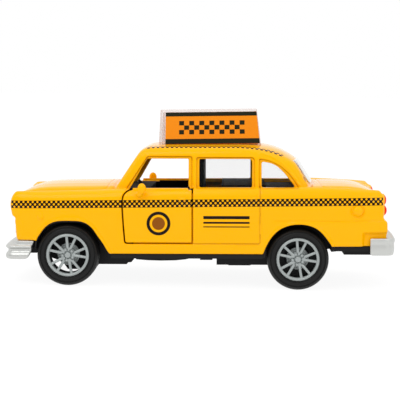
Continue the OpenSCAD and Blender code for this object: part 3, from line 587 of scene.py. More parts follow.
def details(g, f, side):
    """Engraved seams on the sides. side keeps the y region."""
    X, Z = g.X2, g.Z2

    def seam(path, depth=0.3, w=0.17):
        return depth * np.exp(-(lsdf(path, X, Z) / w) ** 2)

    s = seam([[19.85, 33.3], [19.85, 15.2], [19.4, 14.75], [-2, 14.7]], 0.34, 0.19)
    s += seam([[24, 22.35], [59.6, 22.35]], 0.08, 0.3)
    s += seam([[-2.0, 32.6], [-2.0, 34.0]], 0.3, 0.18)
    s += seam([[-1.2, 33.0], [19.8, 33.15]], 0.1, 0.25)
    return f + side * s[:, None, :].astype(np.float32)


def door_d(X, Z):
    """Signed distance to the door outline: rounded all round but for the top rear corner."""
    return np.minimum(psdf(rnd(DOOR, 0.8), X, Z), psdf([[-6, 26], [-2.0, 26], [-2.0, 32.6], [-6, 32.6]], X, Z))


def handle(g, x, z):
    d = rbox(g.X2 - x, g.Z2 - z, 1.35, 0.42, 0.4)[:, None, :].astype(np.float32)
    return smax(d, np.abs(g.Y - 24.9) - 0.62, 0.35)


def knob(g, x, z, r, yo, h):
    d = (np.sqrt((g.X2 - x) ** 2 + (g.Z2 - z) ** 2) - r)[:, None, :].astype(np.float32)
    return smax(d, np.abs(g.Y - yo) - h, 0.5)


H = 0.25
AD = 0.012


def build_shell():
    g = Grid([-64, 0, 9.5], [63, 26.4, 48.2], H)
    low, da = lower_field(g, OUTLINE)
    open_low, _ = lower_field(g, OUT_OPEN)
    house = house_field(g, HOUSE)
    # recessed frames round the windows
    side = sstep((g.Y - 14) / 2)
    X2, Z2 = g.X2, g.Z2
    fr = np.minimum(np.minimum(psdf(rnd(FRM_F, 0.8), X2, Z2), psdf(rnd(FRM_R, 0.6), X2, Z2)), psdf(rnd(FRM_Q, 0.7), X2, Z2))
    rec = 0.42 * sstep(-fr / 0.2) + 0.24 * np.exp(-((fr + 0.2) / 0.2) ** 2)
    # a raised edge along the rear pillar
    rib = 0.22 * np.exp(-((lsdf([[20, 44.2], [23.6, 43.0], [26.8, 41.0], [29.7, 38.1], [33.7, 32.6]], X2, Z2)) / 0.3) ** 2)
    house = house + side * (rec - rib)[:, None, :].astype(np.float32)
    outer = smin(low, house, 0.5)
    ends = sstep((np.abs(g.X - 4.5) - 28.0) / 1.0) * sstep((18.3 - g.Y) / 0.5)
    outer = outer + 0.75 * np.exp(-(low ** 2 + house ** 2) / 0.55 ** 2) * ends
    outer = details(g, outer, side)
    # bonnet, cowl and boot seams on the deck
    XY = (g.xs[:, None].astype(float), g.ys[None, :].astype(float))
    up = sstep((g.Z - 29.5) / 1.0)
    tops = 0.32 * np.exp(-(np.abs(psdf(rnd([[-58.9, -17.5], [-58.9, 17.5], [-30.4, 17.9], [-30.4, -17.9]], 2.5, 6), *XY)) / 0.2) ** 2)
    tops += 0.32 * np.exp(-(np.abs(psdf(rnd([[40.2, -17.7], [40.2, 17.7], [66, 17.5], [66, -17.5]], 3.2, 6), *XY)) / 0.2) ** 2)
    outer = outer + up * tops[:, :, None].astype(np.float32) * (house > 0.6)
    # lamp hoods and grille recess, boot lid and plate recess on the ends
    YZ = (g.ys[:, None].astype(float), g.zs[None, :].astype(float))
    gr = rbox(YZ[0], YZ[1] - 23.8, 21.0, 6.35, 1.6)[None].astype(np.float32)
    outer = smax(outer, -np.maximum(gr, g.X + 59.85), 0.5)
    plate = rbox(YZ[0], YZ[1] - 26.6, 7.2, 2.3, 0.5)[None].astype(np.float32)
    outer = smax(outer, -np.maximum(plate, 60.05 - g.X), 0.3)
    lid = np.abs(rbox(YZ[0], YZ[1] - 28.4, 17.6, 5.2, 1.2))
    outer = outer + (0.3 * np.exp(-(lid / 0.2) ** 2) * sstep((31 - YZ[1]) / 1.5))[None].astype(np.float32) * (g.X > 57.5)
    # tail lamp pods
    for zz in (28.8, 25.4):
        pod = (np.sqrt((YZ[0] - 19.4) ** 2 + (YZ[1] - zz) ** 2) - 2.05)[None].astype(np.float32)
        outer = smin(outer, smax(pod, np.abs(g.X - 59.5) - 1.05, 0.3), 0.4)
        outer = smax(outer, -np.maximum(pod + 0.36, 59.55 - g.X), 0.2)
    # hollow inside
    inner = open_low + 1.2
    cabin = house_field(g, HOUSE_IN, 0.8) + 1.2
    cabin = np.maximum(cabin, 27.0 - g.Z)
    box_c = np.maximum(np.maximum(-25.2 - g.X, g.X - 34.8), np.maximum(g.Y - 19.6, np.maximum(28 - g.Z, g.Z - 36)))
    inner = np.minimum(np.minimum(inner, cabin), box_c)
    inner = np.maximum(inner, -np.maximum(gr - 1.3, g.X + 58.6))
    f = smax(outer, -inner, 0.35)
    # openings
    yy = (12.0 - g.Y)
    cut = np.minimum(np.minimum(psdf(rnd(WIN_F, 0.5), X2, Z2), psdf(rnd(WIN_R, 0.5), X2, Z2)), psdf(rnd(WIN_Q, 0.5), X2, Z2))[:, None, :].astype(np.float32)
    f = smax(f, -np.maximum(cut, yy), 0.35)
    door = door_d(X2, Z2)[:, None, :].astype(np.float32)
    door = np.minimum(door, np.maximum(psdf([[-22.6, 31.2], [-22.6, 33], [-3.2, 33], [-3.2, 31.2]], X2, Z2)[:, None, :].astype(np.float32), yy))
    f = smax(f, -np.maximum(door, 17 - g.Y), 0.3)
    f = smax(f, -np.maximum(da[:, None, :].astype(np.float32), 13.5 - g.Y), 0.35)
    # windscreen and rear window
    ws = rbox(g.ys[:, None] + 0.0, g.zs[None, :] - 39.1, 1e3, 4.55, 0.1)
    wsy = rbox((g.ys[:, None]) / 1.0, (g.zs[None, :] - 39.05), 17.3, 4.65, 1.6) + 0.0
    f = smax(f, -np.maximum(wsy[None].astype(np.float32), g.X + 14), 0.35)
    rw = rbox(g.ys[:, None], (g.zs[None, :] - 37.75), 16.9, 3.55, 1.5)
    f = smax(f, -np.maximum(rw[None].astype(np.float32), 26 - g.X), 0.35)
    # swing room inside the front edge of the doorway
    cy = np.sqrt((g.X + 20.6) ** 2 + (g.Y - 22.4) ** 2) - 5.7
    f = np.maximum(f, -np.maximum(np.maximum(cy, np.maximum(low + 0.8, 14 - g.Z)), np.maximum(g.Z - 31.0, g.X + 20)))
    # jamb behind the door gap
    dd = door_d(X2, Z2)[:, None, :].astype(np.float32)
    keep = np.maximum(-21.6 - g.X, g.Z - 31.0)
    ja = np.maximum(np.maximum(np.maximum(0.12 - dd, dd - 0.9), np.maximum(low + 1.0, -(low + 2.6))), keep)
    jb = np.maximum(np.maximum(np.maximum(-1.3 - dd, dd - 0.9), np.maximum(low + 1.9, -(low + 2.6))), keep)
    f = np.minimum(f, np.minimum(ja, jb))
    # small raised details
    f = smin(f, handle(g, 17.3, 29.35), 0.25)
    f = smin(f, knob(g, -51.7, 23.4, 0.9, 24.6, 0.45), 0.5)
    # screw bosses under the deck
    for bx, zb, zt in ((-52, 12.62, 32.0), (50, 13.72, 32.8)):
        b = np.maximum(np.sqrt((g.X - bx) ** 2 + g.Y ** 2) - 2.1, np.maximum(zb - g.Z, g.Z - zt))
        f = np.minimum(f, np.maximum(b, -np.maximum(np.sqrt((g.X - bx) ** 2 + g.Y ** 2) - 0.8, g.Z - 20)))
    # the near side alone has the fuel cap
    full = np.concatenate([f[:, :0:-1], f], 1)
    gf = Grid([-64, -float(g.ys[-1]), 9.5], [63, float(g.ys[-1]), 48.2], H)
    cap = (np.sqrt((gf.X2 - 51.3) ** 2 + (gf.Z2 - 25.4) ** 2) - 1.45)[:, None, :].astype(np.float32)
    dome = (np.sqrt((gf.X - 51.5) ** 2 + ((gf.Y[:, : full.shape[1]] + 24.35) * 1.35) ** 2 + (gf.Z - 25.6) ** 2) - 1.75) * 0.85
    cap = smax(cap, np.abs(gf.Y[:, : full.shape[1]] + 24.0) - 0.95, 0.3)
    ringc = np.sqrt((gf.X - 51.4) ** 2 + (gf.Z - 25.5) ** 2)
    full = full + 0.3 * np.exp(-((ringc - 2.0) / 0.24) ** 2) * (gf.Y[:, : full.shape[1]] < -20)
    full = smin(full, smin(cap, dome, 0.15), 0.12)
    # sign pegs
    for px in (-9, 15):
        full = np.maximum(full, -np.maximum(np.sqrt((gf.X - px) ** 2 + gf.Y[:, : full.shape[1]] ** 2) - 1.3, 42 - gf.Z))

    # painted shade: per-vertex darkening along the window frame recesses, strongest under the roof edge and on the
    # front and rear pillars, and along the door seams
    def groove_shade_amount(p):
        x, y, z = p[:, 0], np.abs(p[:, 1]), p[:, 2]
        i = np.clip(np.round((x - g.lo[0]) / g.h).astype(int), 0, fr.shape[0] - 1)
        k = np.clip(np.round((z - g.lo[2]) / g.h).astype(int), 0, fr.shape[1] - 1)
        fv = fr[i, k] + (x - g.xs[i]) * GX[i, k] + (z - g.zs[k]) * GZ[i, k]
        on = (y > 17.2) & (z > 32)
        amt = 0.17 + 0.38 * sstep((z - 41.4) / 0.8)
        amt = np.maximum(amt, np.maximum(0.4 * (x < -16.2) * (z > 33), 0.34 * (x > 24.5)))
        w = np.where(on, amt * np.exp(-((fv + 0.16) / 0.18) ** 2) + 0.08 * (fv < -0.16), 0)
        for path, amt in (([[19.85, 33.3], [19.85, 15.2], [19.4, 14.75], [-2, 14.7]], 0.42), ([[24, 22.35], [59.6, 22.35]], 0.12)):
            w = np.maximum(w, np.where((y > 20) & (z < 33.2), amt * np.exp(-(lsdf(path, x, z) / 0.17) ** 2), 0))
        return w

    GX, GZ = np.gradient(fr, g.h)
    return sdf_obj("body_shell_skin", full, gf, [M_PAINT], "car", ["body_shell"], AD, groove_shade_amount=groove_shade_amount)


def build_door(sgn, body, cad, name):
    h = 0.2
    g = Grid([-26.5, 19.6, 13.4], [-0.8, 29.4, 36], h)
    low, _ = lower_field(g, OUTLINE)
    outer = details(g, low, np.float32(1.0))
    X2, Z2 = g.X2, g.Z2
    d = door_d(X2, Z2)
    f = smax(outer, -(low + 1.15), 0.3)
    f = smax(f, (d + 0.42)[:, None, :].astype(np.float32), 0.45)
    f = np.maximum(f, 20.8 - g.Y)
    f = smax(f, g.Z - 32.55, 0.5)
    # hinge knuckle
    kn = np.sqrt((g.X + 20.6) ** 2 + (g.Y - 22.4) ** 2)
    zz = np.maximum(18.7 - g.Z, g.Z - 27.0)
    web = np.maximum(np.maximum(np.abs(g.X + 20.45) - 0.95, np.abs(g.Y - 23.3) - 0.9), zz)
    f = np.minimum(f, np.minimum(np.maximum(kn - 0.98, zz), web))
    f = np.maximum(f, 0.63 - kn + 0 * g.Z)
    # the flange under the window stops clear of the pillar, and lower down clear of the jamb
    end = np.maximum(g.X + 3.6, np.minimum(g.X + 4.5, 31.45 - g.Z))
    sill = np.maximum(np.maximum(np.abs(g.Y - 22.6) - 0.55, np.maximum(-21.7 - g.X, end)), np.abs(g.Z - 31.4) - 1.4)
    f = smin(f, sill, 0.3)
    f = smin(f, handle(g, -5.6, 29.25), 0.25)
    # mirror: a stalk that swells into a rounded head
    stem = np.sqrt(((g.X + 19.3) / 1.25) ** 2 + ((g.Y - 25.3) / 1.7) ** 2 + ((g.Z - 31.0) / 1.05) ** 2) * 1.15 - 1.15
    head = np.sqrt(((g.X + 18.45) / 1.38) ** 2 + ((g.Y - 27.0) / 1.05) ** 2 + ((g.Z - 32.95) / 1.72) ** 2) * 1.2 - 1.2
    f = smin(f, smin(stem, head, 0.7), 0.35)
    p, faces, n = mesh_of(f, g, AD)
    if sgn < 0:
        p[:, 1] *= -1
        n[:, 1] *= -1
        faces = [q[::-1] for q in faces]
    print(name, len(p), len(faces))
    return make(name, to_row(p), faces, [M_PAINT], body, [cad], rot_row(n))


build_shell()
build_door(-1, "left_door", "left_front_door", "left_door_skin")
build_door(1, "right_door", "right_front_door", "right_door_skin")


# ------------------------------------------------------------------ glazing
def build_glass():
    h = 0.25
    g = Grid([-31, 0, 31.6], [41, 22.8, 47.4], h)
    house = house_field(g, HOUSE_G)
    X2, Z2 = g.X2, g.Z2
    inner = smax(house + 1.28, -(house + 2.1), 0.2)
    inner = np.maximum(inner, 32.3 - g.Z)
    cutf = psdf([[-24.6, 28], [-24.4, 31], [-16.6, 43.2], [-2.7, 43.2], [-2.7, 28]], X2, Z2)[:, None, :].astype(np.float32)
    inner = np.maximum(inner, -np.maximum(cutf, 14 - g.Y))
    plugs = []
    ws = rbox(g.ys[:, None], g.zs[None, :] - 39.05, 17.45, 4.8, 1.6)[None].astype(np.float32)
    plugs.append(np.maximum(ws, g.X + 14))
    rw = rbox(g.ys[:, None], g.zs[None, :] - 37.75, 17.25, 3.85, 1.5)[None].astype(np.float32)
    plugs.append(np.maximum(rw, 26 - g.X))
    f = inner
    for q, off in zip(plugs, (0.15, -0.32)):
        f = smin(f, smax(np.maximum(q, house + off), -(house + 2.1), 0.25), 0.3)
    cs = np.minimum(psdf(WIN_R, X2, Z2), psdf(WIN_Q, X2, Z2))[:, None, :].astype(np.float32) + 0.12
    f = smin(f, smax(np.maximum(np.maximum(cs, house + 1.0), 12 - g.Y), -(house + 2.1), 0.2), 0.2)
    for px in (-9, 15):
        f = np.maximum(f, -np.maximum(np.sqrt((g.X - px) ** 2 + g.Y ** 2) - 1.3, 42 - g.Z))
    o = sdf_obj("window_glass", f, g, [M_GLASS, M_GLASS2], "car", ["window_glazing"], 0.02, both=True)
    o.data.polygons.foreach_set("material_index", [0 if q.center.x > 0.0255 else 1 for q in o.data.polygons])
    return o


build_glass()


# ------------------------------------------------------------------ bumpers
def plan_distance(g, xe, bowx, y1, r, sgn):
    """Signed distance (negative inside) to the outline of a wrap-round bumper seen from above."""
    ys = np.arange(0, y1 - r + 0.01, 0.5)
    pts = [[xe + sgn * bowx * (1 - (y / (y1 - r)) ** 2), y] for y in ys]
    for a in np.linspace(0, math.pi / 2, 70)[1:]:
        pts.append([xe - sgn * r + sgn * r * math.cos(a), y1 - r + r * math.sin(a)])
    pts += [[xe - sgn * 30, y1], [xe - sgn * 30, -5], [pts[0][0], -5]]
    return psdf(pts, g.xs[:, None].astype(float), g.ys[None, :].astype(float))


def build_front_bumper():
    h = 0.16
    g = Grid([-66, 0, 8.6], [-52.4, 25.4, 16.4], h)
    d = plan_distance(g, -64.0, 0.9, 24.3, 3.3, -1)[:, :, None].astype(np.float32)
    z = g.Z
    # W section: lip, concave channel, lip
    prof = chaikin([[-2.2, 9.3], [-0.75, 9.3], [-0.15, 9.75], [0.0, 10.5], [-0.3, 11.3], [-0.95, 11.9], [-0.95, 12.65], [-0.3, 13.1], [0.02, 13.5], [-0.25, 13.95], [-2.2, 13.95],
                    [-2.3, 12.9], [-2.2, 12.3], [-2.2, 11.4], [-2.3, 10.6]], 1)
    P = np.asarray(prof)
    D, Z = np.broadcast_arrays(d, z)
    f = psdf(P, D.astype(float), Z.astype(float)).astype(np.float32)
    end = psdf([[-70, 17], [-53.6, 17], [-54.2, 15.2], [-54.9, 13.8], [-55.1, 12.2], [-55.8, 10.6], [-56.4, 9.7], [-57.2, 9.1], [-60, 8], [-70, 8]], g.X2, g.Z2)[:, None, :].astype(np.float32)
    f = smax(f, end, 0.5)
    d2 = plan_distance(g, -60.7, 0.8, 23.6, 2.2, -1)[:, :, None].astype(np.float32)
    strip = smax(np.maximum(d2, -(d2 + 1.3)), np.abs(z - 14.65) - 0.83, 0.35)
    strip = smax(strip, end, 0.4)
    ledge = smax(np.maximum(d + 0.9, -(d2 + 1.3)), np.abs(z - 13.9) - 0.28, 0.3)
    ledge = smax(ledge, end, 0.4)
    f = smin(smin(f, strip, 0.2), ledge, 0.3)
    for yb in (9.0,):
        br = np.maximum(np.maximum(np.abs(g.Y - yb) - 2, np.abs(z - 12.3) - 0.9), np.maximum(-63.2 - g.X, g.X + 58.2))
        f = np.minimum(f, br)
    return sdf_obj("front_bumper_bar", soften(soften(f)), g, [M_SILVER], "car", ["front_bumper"], 0.0, both=True)


def build_rear_bumper():
    h = 0.16
    g = Grid([54.6, 0, 9.9], [66.2, 25.4, 17.6], h)
    d = plan_distance(g, 64.0, 0.9, 24.45, 3.5, 1)[:, :, None].astype(np.float32)
    prof = chaikin([[-1.1, 10.95], [-0.85, 10.75], [-0.52, 10.95], [-0.26, 12.2], [-0.18, 13.4], [-0.3, 14.85], [-0.05, 15.3], [0.0, 16.0], [-0.2, 16.6], [-0.95, 16.65], [-1.0, 14]], 1)
    D, Z = np.broadcast_arrays(d, g.Z)
    f = psdf(prof, D.astype(float), Z.astype(float)).astype(np.float32)
    end = rbox(g.X2 - 75.6, g.Z2 - 18.7, 20, 8, 1.1)[:, None, :].astype(np.float32)
    f = smax(f, end, 0.4)
    ledge = smax(np.maximum(d + 0.35, -(d + 3.3)), np.abs(g.Z - 16.15) - 0.36, 0.25)
    ledge = np.maximum(smax(ledge, end + 0.3, 0.3), -np.maximum(g.Y - 23.5, g.X - 61.15))
    f = smin(f, ledge, 0.25)
    br = np.maximum(np.maximum(np.abs(g.Y - 9) - 2, np.abs(g.Z - 13.0) - 0.8), np.maximum(56.65 - g.X, g.X - 63.8))
    f = np.minimum(f, br)
    return sdf_obj("rear_bumper_bar", soften(soften(f)), g, [M_SILVER], "car", ["rear_bumper"], 0.0, both=True)


build_front_bumper()
build_rear_bumper()


# ------------------------------------------------------------------ wheels
def wheel_mesh():
    h = 0.11
    g = Grid([-7.4, -7.4, -7.3], [7.4, 7.4, 0.4], h)
    X, Y, Z = g.X, g.Y, g.Z
    R = np.sqrt(X * X + Y * Y)
    # barrel and outer lip
    f = np.maximum(np.maximum(R - 7.0, 6.3 - R), np.maximum(-6.9 - Z, Z + 0.3))
    lip = np.sqrt((R - 6.52) ** 2 + (Z + 0.42) ** 2) - 0.42
    f = smin(f, lip, 0.25)
    lip2 = np.sqrt((R - 6.2) ** 2 + (Z + 1.05) ** 2) - 0.16
    f = smin(f, lip2, 0.2)
    # hub boss
    hub = smax(R - 2.35, np.abs(Z + 1.6) - 0.62, 0.5)
    f2 = hub
    for i in range(5):
        c = math.radians(80 + 72 * i)
        for s in (-1, 1):
            a = c + s * math.radians(14.2)
            a0 = c + s * math.radians(11)
            p0 = np.array([1.7 * math.cos(a0), 1.7 * math.sin(a0), -1.35])
            p1 = np.array([6.35 * math.cos(a), 6.35 * math.sin(a), -0.95])
            dx = p1 - p0
            L = dx @ dx
            t = np.clip(((X - p0[0]) * dx[0] + (Y - p0[1]) * dx[1] + (Z - p0[2]) * dx[2]) / L, 0, 1)
            qx, qy, qz = X - p0[0] - dx[0] * t, Y - p0[1] - dx[1] * t, Z - p0[2] - dx[2] * t
            u = (-dx[1] * qx + dx[0] * qy) / math.hypot(dx[0], dx[1])
            al = np.abs(np.sqrt(np.maximum(qx * qx + qy * qy - u * u, 0)))
            hw = 0.45 - 0.02 * t
            bar = smax(np.sqrt(u * u + al * al) - hw, np.abs(qz) + 0.35 * np.abs(u) - 0.55, 0.2)
            f2 = smin(f2, bar, 0.16)
        # lug nuts between the pairs
        a = c + math.radians(36)
        lug = np.sqrt((X - 1.75 * math.cos(a)) ** 2 + (Y - 1.75 * math.sin(a)) ** 2)
        f2 = smax(f2, -smax(np.abs(lug - 0.62) - 0.15, -(Z + 1.35), 0.1), 0.1)
        f2 = smin(f2, smax(lug - 0.44, np.abs(Z + 0.95) - 0.34, 0.2), 0.06)
    cap = smax(R - 0.98, np.abs(Z + 0.85) - 0.5, 0.45)
    f2 = smin(f2, cap, 0.12)
    f2 = smax(f2, -smax(np.abs(R - 1.12) - 0.13, -(Z + 1.4), 0.1), 0.1)
    f = smin(f, f2, 0.35)
    # brake disc and sleeve behind
    disc = smax(R - 3.7, np.abs(Z + 3.5) - 0.38, 0.25)
    disc = smax(disc, -(np.abs(R - 3.1) - 0.1 + 0 * Z + np.where(Z > -3.3, 0, 5)), 0.1)
    f = smin(f, smin(disc, smax(R - 2.0, np.abs(Z + 3.3) - 1.9, 0.3), 0.3), 0.2)
    f = np.maximum(f, -np.maximum(R - 1.0, Z + 2.0))
    return mesh_of(f, g, 0.006)


def tyre_mesh():
    R0 = 10.1
    w = 7.4
    pr = [[7.0, -w + 0.35], [7.35, -w + 0.08], [7.9, -w], [8.8, -w + 0.05], [9.35, -w + 0.3], [9.75, -w + 0.75], [9.98, -w + 1.2]]
    tread = []
    y = -w + 1.2
    for gy in (-5.2, -3.7, -2.2):
        tread += [[R0 - 0.02, y + 0.15], [R0, gy - 0.45], [R0 - 0.05, gy - 0.25], [R0 - 0.42, gy - 0.2], [R0 - 0.42, gy + 0.2], [R0 - 0.05, gy + 0.25]]
        y = gy + 0.25
    tread += [[R0, -1.5], [9.98, -1.15]]
    out = [[9.8, -0.72], [9.5, -0.38], [9.3, -0.28], [9.22, -0.06], [9.1, -0.04], [9.02, -0.26], [8.86, -0.3], [8.74, -0.12], [8.3, -0.02], [7.8, 0.0], [7.66, -0.05], [7.58, -0.24], [7.42, -0.26], [7.34, -0.1],
           [7.2, -0.2], [7.0, -0.45]]
    prof = np.array(pr + tread + out)
    fine = chaikin(prof, 1)
    V, F = lathe(fine[::-1], 144)
    return V, F


WV, WF, WN = wheel_mesh()
WZ, WR = np.asarray(WV)[:, 2], np.hypot(np.asarray(WV)[:, 0], np.asarray(WV)[:, 1])
TV, TF = tyre_mesh()
TRACK, TR = 24.3, 10.1
for axle, ax in (("front", -43.3), ("rear", 32.1)):
    for sname, s in (("left", -1), ("right", 1)):
        def place(v, n=None):
            # local x, y in the wheel plane, local z outwards
            out = np.stack([v[:, 0] * 1.0, s * v[:, 2], v[:, 1]], 1)
            return out

        body = axle + "_wheelset"
        vv = place(np.asarray(WV)) + np.array([ax, s * TRACK, TR])
        nn = place(np.asarray(WN))
        ff = WF if s < 0 else [q[::-1] for q in WF]
        # faces deep inside the barrel take a darker grey, painted shade inside the wheel
        wi = [1 if WZ[q[0]] < -2.3 and WR[q[0]] > 4.6 else 0 for q in WF]
        make(f"{axle}_{sname}_rim", row_mm(vv), ff, [M_WHEEL, M_BARREL_SHADE], body, [f"{axle}_{sname}_wheel"], nn, idx=wi)
        tv = place(np.asarray(TV)) + np.array([ax, s * TRACK, TR])
        tf = TF if s < 0 else [q[::-1] for q in TF]
        if axle == "rear":
            # closed back of the driven wheels, in the dark grey that paints shade inside the wheel
            rv, rf = lathe([[4.3, -6.75], [6.6, -6.75], [6.6, -6.35], [4.3, -6.35]], 64)
            rv = place(np.asarray(rv)) + np.array([ax, s * TRACK, TR])
            make(f"{axle}_{sname}_wheel_back", row_mm(rv), rf if s > 0 else [q[::-1] for q in rf], [M_BARREL_SHADE], body, smooth=False)
        o = make(f"{axle}_{sname}_tyre_ring", row_mm(tv), tf, [M_TYRE], body, [f"{axle}_{sname}_tyre"])
        flat_shade(o, 50)


# ------------------------------------------------------------------ roof sign
SX = 3.3


def sign_pt(x, y, z):
    a = math.radians(0.7)
    dx = x - SX
    return (SX + dx * math.cos(a) - z * math.sin(a), y, 46 + dx * math.sin(a) + z * math.cos(a))


def trap(i, z0, z1, a=10.5, b=4.2):
    h = 12.2
    t0, t1 = (z0 - 0.6) / (h - 0.6), (z1 - 0.6) / (h - 0.6)
    y0, y1 = a + (b - a) * max(t0, 0) - i, a + (b - a) * t1 - i

    def xs(z):
        return -13.95 + i + 0.4 * z / h, 20.4 - i - 1.25 * z / h

    v = []
    for z, y in ((z0, y0), (z1, y1)):
        xa, xb = xs(z)
        v += [(xa, -y, z), (xb, -y, z), (xb, y, z), (xa, y, z)]
    f = [(0, 3, 2, 1), (4, 5, 6, 7), (0, 1, 5, 4), (1, 2, 6, 5), (2, 3, 7, 6), (3, 0, 4, 7)]
    return v, f


def build_sign():
    outer = trap(0, -0.62, 12.2)
    inner = trap(0.9, -0.62, 11.3)
    bm = bmesh.new()
    vo = [bm.verts.new(p) for p in outer[0]]
    for f in outer[1][1:]:
        bm.faces.new([vo[i] for i in f])
    vi = [bm.verts.new(p) for p in inner[0]]
    for f in inner[1][1:]:
        bm.faces.new([vi[i] for i in f[::-1]])
    for i in range(4):
        j = (i + 1) % 4
        bm.faces.new([vo[j], vo[i], vi[i], vi[j]])
    me_v = [sign_pt(*v.co) for v in bm.verts]
    bm.verts.index_update()
    faces = [tuple(v.index for v in f.verts) for f in bm.faces]
    bm.free()
    parts = [(me_v, faces)]
    # pegs into the roof
    for px in (-9, 15):
        n = 24
        ring = [(px + 1.25 * math.cos(2 * math.pi * i / n), 1.25 * math.sin(2 * math.pi * i / n)) for i in range(n)]
        parts.append(prism(ring, 43.6, 46.6, "z"))
    V, F, _ = merge(parts)
    o = make("sign_housing_clear", to_row(V), F, [M_CLEAR], "car", ["roof_sign_housing"])
    bevel(o, 0.28, 3)
    flat_shade(o, 40)


build_sign()

LEAN = math.atan2(10.5 - 4.2, 11.6)


def face_mesh(loops, t0, t1):
    """Filled outline (first loop) with holes (other loops), as a thin slab from t0 to t1, outline in [x, z], slab along local -y."""
    bm = bmesh.new()
    edges = []
    for lp in loops:
        vs = [bm.verts.new((p[0], -t1, p[1])) for p in lp]
        edges += [bm.edges.new((vs[i], vs[(i + 1) % len(vs)])) for i in range(len(vs))]
    bmesh.ops.triangle_fill(bm, edges=edges, use_beauty=True, normal=(0, -1, 0))
    r = bmesh.ops.extrude_face_region(bm, geom=list(bm.faces))
    bmesh.ops.translate(bm, vec=(0, t1 - t0, 0), verts=[e for e in r["geom"] if isinstance(e, bmesh.types.BMVert)])
    bmesh.ops.recalc_face_normals(bm, faces=bm.faces)
    bm.verts.index_update()
    v = [tuple(q.co) for q in bm.verts]
    f = [tuple(q.index for q in x.verts) for x in bm.faces]
    bm.free()
    return v, f


def build_panel(s, cad):
    W0 = lambda z: (-11.7, 19.95 - 0.95 * (z - 0.1) / 12.1)
    z0, z1 = 0.1, 12.0
    parts = [face_mesh([[[-11.7, z0], [-11.7, z1], [W0(z1)[1], z1], [W0(z0)[1], z0]]], 0.0, 0.22) + (0,)]
    parts += [face_mesh([[[-11.7, a], [-11.7, b], [W0(b)[1], b], [W0(a)[1], a]]], 0.2, 0.26) + (1,) for a, b in ((z0, z0 + 1.85), (z1 - 1.5, z1))]
    # a plain checker block, three rows, in the middle of the label
    q = 1.7
    for i in range(13):
        for j in range(3):
            if (i + j) % 2 == 0:
                a, b = 3.9 + (i - 6.5) * q + 0.03, 6.2 + (j - 1.5) * q + 0.03
                parts.append(face_mesh([[[a, b], [a, b + q - 0.06], [a + q - 0.06, b + q - 0.06], [a + q - 0.06, b]]], 0.2, 0.26) + (1,))
    V, F, I = merge(parts)
    c, sn = math.cos(-LEAN), math.sin(-LEAN)
    out = []
    for x, y, z in V:
        yy, zz = y * c - z * sn, y * sn + z * c
        p = sign_pt(x, -10.52 + yy, 0.6 + zz)
        out.append((p[0], p[1] * (-1 if s > 0 else 1), p[2]))
    o = make(cad + "_print", to_row(out), F, [M_ORANGE, M_SIGNINK], "car", [cad], smooth=False, idx=I)
    return o


build_panel(-1, "left_sign_panel")
build_panel(1, "right_sign_panel")


# ------------------------------------------------------------------ prints on the doors
_pg = Grid([-26, 22, 14], [20, 26, 31], 0.5)
_pf, _ = lower_field(_pg, OUTLINE)


def surf_y(x, z):
    """Half width of the body skin at x, z."""
    ys = np.linspace(23, 26, 61)
    p = np.array([[x, y, z] for y in ys])
    d = _pg.sample(_pf, p)
    i = int(np.argmax(d > 0))
    return ys[i - 1] + (ys[i] - ys[i - 1]) * (0 - d[i - 1]) / (d[i] - d[i - 1])


def decal(name, shapes, s, body, mats, step=1.2):
    """Thin ink films that hug the side. shapes: (outline [x, z], material index)."""
    V, F, I = [], [], []
    for poly, mi in shapes:
        bm = bmesh.new()
        vs = [bm.verts.new((p[0], 0, p[1])) for p in poly]
        bm.faces.new(vs)
        zs = [p[1] for p in poly]
        z = min(zs) + step
        while z < max(zs) - 0.2:
            bmesh.ops.bisect_plane(bm, geom=list(bm.verts) + list(bm.edges) + list(bm.faces), plane_co=(0, 0, z), plane_no=(0, 0, 1))
            z += step
        bmesh.ops.triangulate(bm, faces=bm.faces)
        r = bmesh.ops.extrude_face_region(bm, geom=list(bm.faces))
        up = [e for e in r["geom"] if isinstance(e, bmesh.types.BMVert)]
        bmesh.ops.translate(bm, vec=(0, 1, 0), verts=up)
        for v in bm.verts:
            base = surf_y(v.co.x, v.co.z)
            v.co.y = s * (base + (0.045 if v.co.y > 0.5 else -0.02))
        bmesh.ops.recalc_face_normals(bm, faces=bm.faces)
        bm.verts.index_update()
        o = len(V)
        V += [tuple(v.co) for v in bm.verts]
        F += [tuple(v.index + o for v in f.verts) for f in bm.faces]
        I += [mi] * (len(F) - len(I))
        bm.free()
    return make(name, to_row(V), F, mats, body, smooth=False, idx=I)


def rect(x0, x1, z0, z1):
    return [(x0, z0), (x1, z0), (x1, z1), (x0, z1)]


def roundel():
    """A plain ring with a plain disc in it."""
    cx, cz, n = -13.2, 21.4, 32
    at = lambda r, i: (cx + r * math.cos(2 * math.pi * i / n), cz + r * math.sin(2 * math.pi * i / n))
    sh = [([at(2.9, i), at(3.9, i), at(3.9, i + 1), at(2.9, i + 1)], 0) for i in range(n)]
    sh.append(([at(2.1, i) for i in range(n)], 1))
    return sh


def stripes():
    """Three plain level stripes."""
    return [(rect(1.4, 16.4, 22.9, 23.9), 0), (rect(1.4, 16.4, 21.4, 22.0), 0), (rect(1.4, 16.4, 20.2, 20.5), 0)]


for s, body in ((-1, "left_door"), (1, "right_door")):
    decal(("left" if s < 0 else "right") + "_roundel_print", roundel(), s, body, [M_INK, M_INK2])
    decal(("left" if s < 0 else "right") + "_stripes_print", stripes(), s, "car", [M_INK, M_INK2])


# ------------------------------------------------------------------ lamps and grille
def place_x(v, x, y, z, sgn=1):
    """Turns a lathe about local z into one about the x axis pointing sgn * x."""
    v = np.asarray(v)
    return np.stack([x + sgn * v[:, 2], y + v[:, 0], z + sgn * v[:, 1]], 1)


